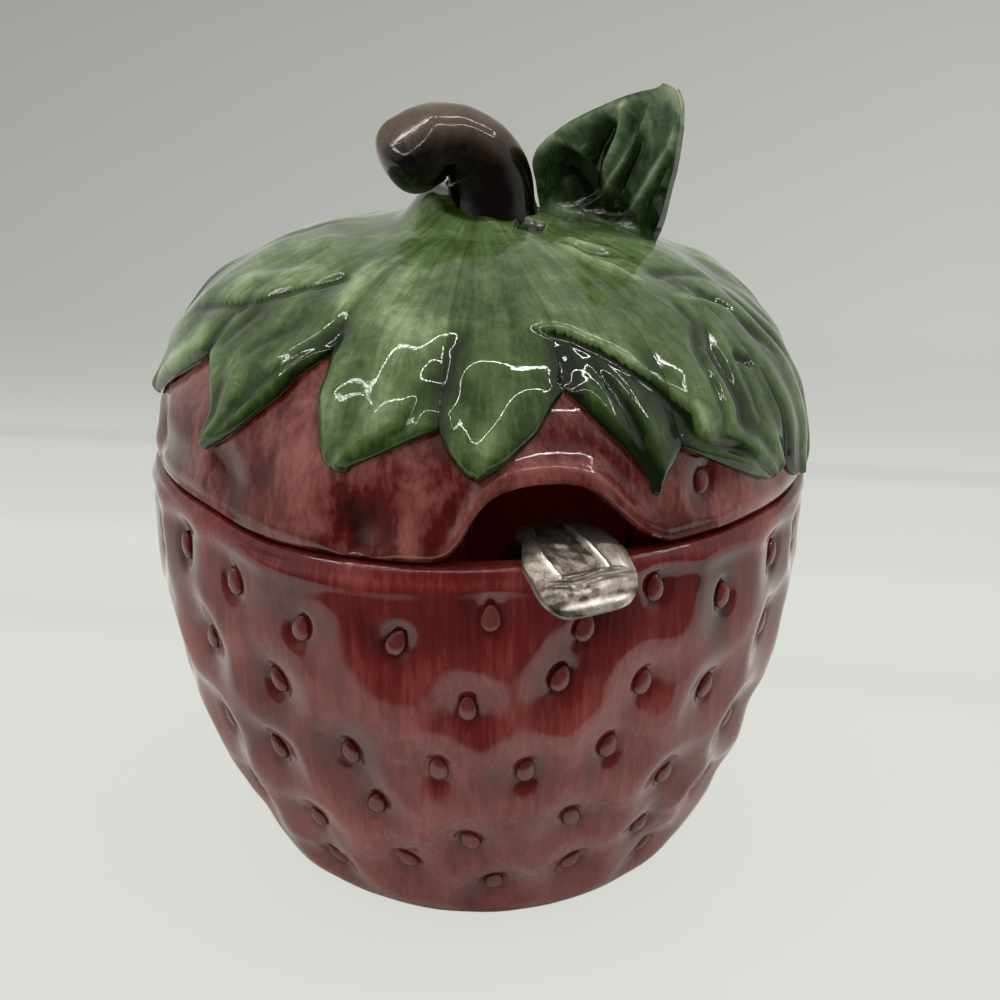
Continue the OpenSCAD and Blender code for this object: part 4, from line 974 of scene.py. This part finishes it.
# Its ridges, rolled rim and hollows: points (across, up) in mm, height, half width, tone
# (painted highlight on the ridges and rim, painted shade in the hollows)
standing_lines = [
    ([(-12.6, 6), (-10.5, 9.3), (-8.3, 11.2), (-5.7, 13.1), (-2, 15.6), (1.3, 17.4), (4.2, 19.2), (8, 21.5)],
     1.7, 1.3, 0.8),
    ([(-8.2, 11.2), (-5.6, 11), (-3.7, 10.3), (-2.2, 11.2), (-1.7, 13.4)], 0.9, 0.7, 0.5),
    ([(5.6, 21), (4.5, 18.9), (2.9, 13.8), (1.8, 11), (0.8, 8.5), (0, 6)], 1.3, 0.6, 0.8),
    ([(9.2, 21), (7.2, 16.1), (5.8, 13.2), (3.7, 9.4), (1.6, 6.6), (-0.4, 4.4)], 1.2, 0.6, 0.8),
    ([(12, 21.5), (10, 18.3), (8.7, 12.9), (6.7, 8.5), (4.6, 5)], 0.5, 2.6, 0.35),
    ([(14.3, 21.4), (13.5, 17.9), (12.9, 15.8), (11.6, 13.4), (10.2, 11), (8.2, 7.1), (6.4, 4.6), (3.6, 1.4)],
     1.3, 0.6, 0.9),
    ([(14.6, 18.4), (13.3, 14.5), (12.3, 11.9), (11, 9.2), (9.6, 6.4), (7.2, 3.6)], 1.0, 0.55, 0.8),
    ([(-8.6, 8.3), (-5.5, 7.1), (-2.9, 5.1), (-1.3, 3)], -2.0, 3.4, -1.1),
    ([(-2.2, 8.6), (0.4, 13.4), (2.6, 17.4)], -1.0, 1.5, -0.8),
    ([(7.8, 18.4), (6.2, 12.7), (4.5, 8.4), (3, 5.2)], -0.9, 0.7, -1.1),
    ([(14.1, 16.8), (12.4, 13), (10.6, 9.3), (8, 5.4)], -0.8, 0.6, -1.0),
    ([(-1.5, 2.2), (3, 3.4), (5.4, 2.6)], -0.8, 1.6, -0.9),
    ([(-9.5, 0.6), (-4, 0.4), (3, 0.5), (9, 1.2)], 0.9, 1.0, 0.5),
    ([(12.2, 9.6), (10.7, 8.1), (8.3, 4.3)], -0.7, 0.4, -0.9),
]
foot = round_axis(standing_dist, standing_angle, 0)[:2]
back = round_axis(1, standing_facing, 0)[:2]
side_dir = np.array([back[1], -back[0]])
u = (1 - (1 - np.linspace(0, 1, 120)) ** 1.2)[:, None]
v = np.sin(np.linspace(-1, 1, 110) * math.pi / 2)[None, :]
left_reach, right_reach = (
    np.interp(u, standing_edges[:, 0], standing_edges[:, k]) * standing_w / 2 for k in (1, 2))
across = left_reach + (right_reach - left_reach) * (v + 1) / 2
up_mm = u * standing_h + 0 * across
leaf_points = np.stack([across, 0 * across, up_mm], -1)
forward = 0.3 * ripple(leaf_points, 7, 41) + 0.1 * ripple(leaf_points, 3, 42)
standing_tone = -0.22 + 0.25 * ripple(leaf_points, 6, 43) + 1.5 * smooth(0.78, 1, u)
for points_on, high, wide, lighter in standing_lines:
    best, way_on, _ = near_line(across, up_mm, np.array(points_on, float))
    ends = (0.25 + 0.75 * smooth(0, 0.2, way_on)) * (1 - 0.75 * smooth(0.75, 1, way_on))
    forward = forward + high * ends * bell(best, 0, wide)
    standing_tone = standing_tone + 1.3 * lighter * ends * bell(best, 0, wide + 0.2)
forward = forward * (1 - 0.3 * u) + 0.9 * v ** 2
thick = standing_t * 0.85 * (1 - 0.45 * v ** 4) * (1 - 0.45 * u)


def place_standing(forward_by):
    """The leaf's points, in mm forward of its plane, on the lid."""
    spot = foot + side_dir * across[..., None] - back * forward_by[..., None]
    r = np.minimum(np.linalg.norm(spot, axis=-1), 48)
    lid_z = np.where(r < lid_dome_r * math.sin(dome_turn), dome_z + np.sqrt(lid_dome_r ** 2 - r ** 2),
                     shoulder_z + np.sqrt(np.maximum(0, lid_shoulder_r ** 2 - (r - shoulder_x) ** 2)))
    return np.concatenate([spot, (lid_z + standing_foot_h + u * (standing_h + 0.7))[..., None]], -1)


# painted shade: a darker copy of the green glaze, as this leaf faces away from the light
shaded_green = green_glaze("clear glaze over green in painted shade", "#070f02", "#19290f", "#42553a", "#a0ad8c")
add_sheet("standing_leaf_piece", place_standing(forward), place_standing(forward * 0.55 - thick),
          standing_tone, 0.2, shaded_green, "lid", "standing_leaf")


# Spoon: one casting of pewter, hooked over the rim through the arch. Its end is broad,
# with raised borders, a sunken panel and three bars across, worn bright on top.
bowl_l, bowl_half_w, bowl_depth, bowl_t = 34, 11.5, 5.5, 1.4
shank_half_w, shank_t, hook_bend_r, hook_droop_r, hook_droop = 3.2, 2.6, 12, 15, math.radians(60)
handle_half_w, handle_t, handle_round, spoon_yaw = 7.8, 2.4, 4, math.radians(12)
spoon_gap, bowl_gap = 0.45, 1.4
crest_r = mouth_r + rim_round / 2 - 1.5
rim_run = (rim_out_r - rim_round - crest_r) / math.cos(spoon_yaw)
crest_z = pot_h + spoon_gap + hook_droop_r - math.sqrt((hook_droop_r - (shank_t + handle_t) / 4) ** 2 - rim_run ** 2)
tip_run, tip_drop = crest_r + 0.847 * foot_r, crest_z - hook_bend_r - floor_z - bowl_gap
straight_l = math.sqrt(tip_run ** 2 + tip_drop ** 2 - hook_bend_r ** 2)
shank_angle = math.atan2(hook_bend_r, straight_l) + math.atan2(tip_drop, tip_run)
crest_l = straight_l + hook_bend_r * shank_angle
spoon_l = crest_l + hook_droop_r * hook_droop
s = [np.linspace(first, last, count, endpoint=False) for first, last, count in (
    (0, bowl_l, 60), (bowl_l, straight_l, 20), (straight_l, crest_l, 16), (crest_l, spoon_l - handle_round, 70))]
s = np.concatenate([
    *s, spoon_l - handle_round + handle_round * np.sin(np.linspace(0, math.pi / 2, 14))])[:, None]
v = np.sin(np.linspace(-1, 1, 100) * math.pi / 2)[None, :]
on_end, x = s - crest_l, np.clip(s / bowl_l, 0, 1)
in_bowl = s < bowl_l
# the end droops a little less than a full arc
bent = s - (0.9 + 0.1 * v) * smooth(3, 14, on_end)
before_crest = bent < crest_l
lean = np.where(bent < straight_l, shank_angle, (crest_l - bent) / np.where(before_crest, hook_bend_r, hook_droop_r))
past = np.maximum(0, straight_l - bent)
ahead = np.where(before_crest, -hook_bend_r * np.sin(lean) - past * np.cos(lean), -hook_droop_r * np.sin(lean))
above = np.where(
    before_crest, -hook_bend_r * (1 - np.cos(lean)) - past * np.sin(lean), hook_droop_r * (np.cos(lean) - 1))
bowl_w = bowl_half_w * np.sin(math.pi * x ** 0.85).clip(0) ** 0.62
ease = (1 - np.cos(math.pi * np.clip((s - straight_l) / (spoon_l - handle_round - straight_l), 0, 1))) / 2
gone = np.clip(1 - (spoon_l - s) / (1.35 * handle_round), 0, 1)
half_w = np.where(
    in_bowl, np.maximum(bowl_w, shank_half_w * (0.25 + 0.75 * x)),
    np.where(gone > 0, handle_half_w * (0.44 + 0.56 * np.sqrt(1 - gone ** 2)),
             shank_half_w + (handle_half_w - shank_half_w) * ease))
half_w = half_w + 1.5 * bell(on_end, -3.4, 1.4) + 0.9 * smooth(-3, 1, on_end) * (1 - smooth(5, 11, on_end))
thickness = np.where(in_bowl, bowl_t + (shank_t - bowl_t) * x ** 3,
                     shank_t + (handle_t - shank_t) * np.clip((s - straight_l) / (spoon_l - straight_l), 0, 1))
half_t = thickness / 2 * (1 - 0.55 * v ** 4)
dip = np.where(in_bowl, bowl_depth * (1 - v ** 2) * np.sin(math.pi * x).clip(0) ** 0.8, 0)
# the relief of the end: borders on slanted lines, the panel, the bars, the rim and a scroll
edge = np.abs(v)
wide_share = smooth(-4.5, -2, on_end)
slanted = v + 0.22 * (1 - np.clip(on_end / 10, 0, 1))
border = (0.15 * bell(edge, 0.84, 0.12) + bell(slanted, 0.46, 0.045) + bell(slanted, -0.52, 0.045)) \
    * wide_share * (1 - smooth(9.4, 10.4, on_end))
panel = (1 - smooth(0.4, 0.46, np.abs(slanted + 0.03))) * smooth(-3, -2, on_end) * (1 - smooth(9.2, 9.9, on_end))
bars = (1 - smooth(0.6, 0.85, edge)) * sum(
    bell(on_end + 0.7 * v ** 2 + 0.25 * np.sin(5 * v), bar, 0.26) for bar in (10.4, 11.5, 12.7))
end_rim = bell(on_end, 14.7, 0.5) * (1 - smooth(0.8, 1.0, edge))
scroll = bell(on_end, -3.6, 0.8) * bell(edge, 0.8, 0.22)
grain_points = np.stack([v * half_w, s + 0 * v, 0 * v * s], -1)
grain = 0.06 * ripple(grain_points, 5, 51) + (0.05 + 0.08 * panel) * ripple(grain_points, 1.6, 52)
relief = 0.45 * border - 0.3 * panel + 0.4 * bars + 0.25 * end_rim + 0.5 * scroll + grain * wide_share
# painted shade: the strip beyond the left border is darker, where the handle's side curves down
left_side = (1 - smooth(-0.75, -0.55, slanted)) * smooth(-4, 2, on_end)
between_bars = 0.5 * bell(on_end, 13.7, 0.4) + 0.4 * bell(on_end, 12.1, 0.3) + 0.4 * bell(on_end, 10.95, 0.3)
wear_and_shade = 1.1 * border + 0.45 * bars + 0.6 * end_rim + 0.4 * scroll - 0.4 * panel - 0.3 * left_side - between_bars - 0.1


def spoon_surface(side, extra):
    """The spoon's upper (1) or lower (-1) face, with extra relief, hooked over the rim."""
    h = side * half_t - dip + extra
    local = np.stack(np.broadcast_arrays(
        v * half_w - smooth(-2, 6, on_end), h * np.sin(lean) - ahead, above + h * np.cos(lean)), -1)
    return turned(local, spoon_yaw) + [0, -crest_r, crest_z]


# Old pewter: satin grey, brighter where hands have worn it and brown in the recesses,
# with hairline scratches about 0.2 mm wide along and across the handle.
pewter, tree = new_material("worn pewter")
place = add_node(tree, "ShaderNodeTexCoord").outputs["Object"]
height = add_node(tree, "ShaderNodeAttribute", attribute_name="wear_and_shade").outputs["Fac"]
stain = add_node(tree, "ShaderNodeTexNoise", {"Vector": place, "Scale": 430, "Detail": 5, "Roughness": 0.75})
scratched = add_node(tree, "ShaderNodeMapping", {
    "Vector": place, "Scale": (1, 0.12, 0.3), "Rotation": (0.6, 0, 0.5)})
scratches = add_node(tree, "ShaderNodeTexNoise", {"Vector": scratched, "Scale": 2600, "Detail": 2})
total = add_node(tree, "ShaderNodeMath", {0: height, 1: 0.45, 2: stain}, operation="MULTIPLY_ADD")
tones = add_node(tree, "ShaderNodeValToRGB", {0: total}, stops=(
    (0.2, "#544a42"), (0.5, "#b3a89d"), (0.8, "#dfd9d0")))
rough = add_node(tree, "ShaderNodeMapRange", {"Value": total, "To Min": 0.55, "To Max": 0.26})
skin = add_node(tree, "ShaderNodeMath", {0: scratches, 1: 0.5, 2: stain}, operation="MULTIPLY_ADD")
lay_surface(tree, tones, skin, 0.5, 0.0003, Roughness=rough, Metallic=1.0)
add_sheet("spoon_casting", spoon_surface(1, relief), spoon_surface(-1, 0), wear_and_shade, 0, pewter,
          "spoon", "spoon", "wear_and_shade")
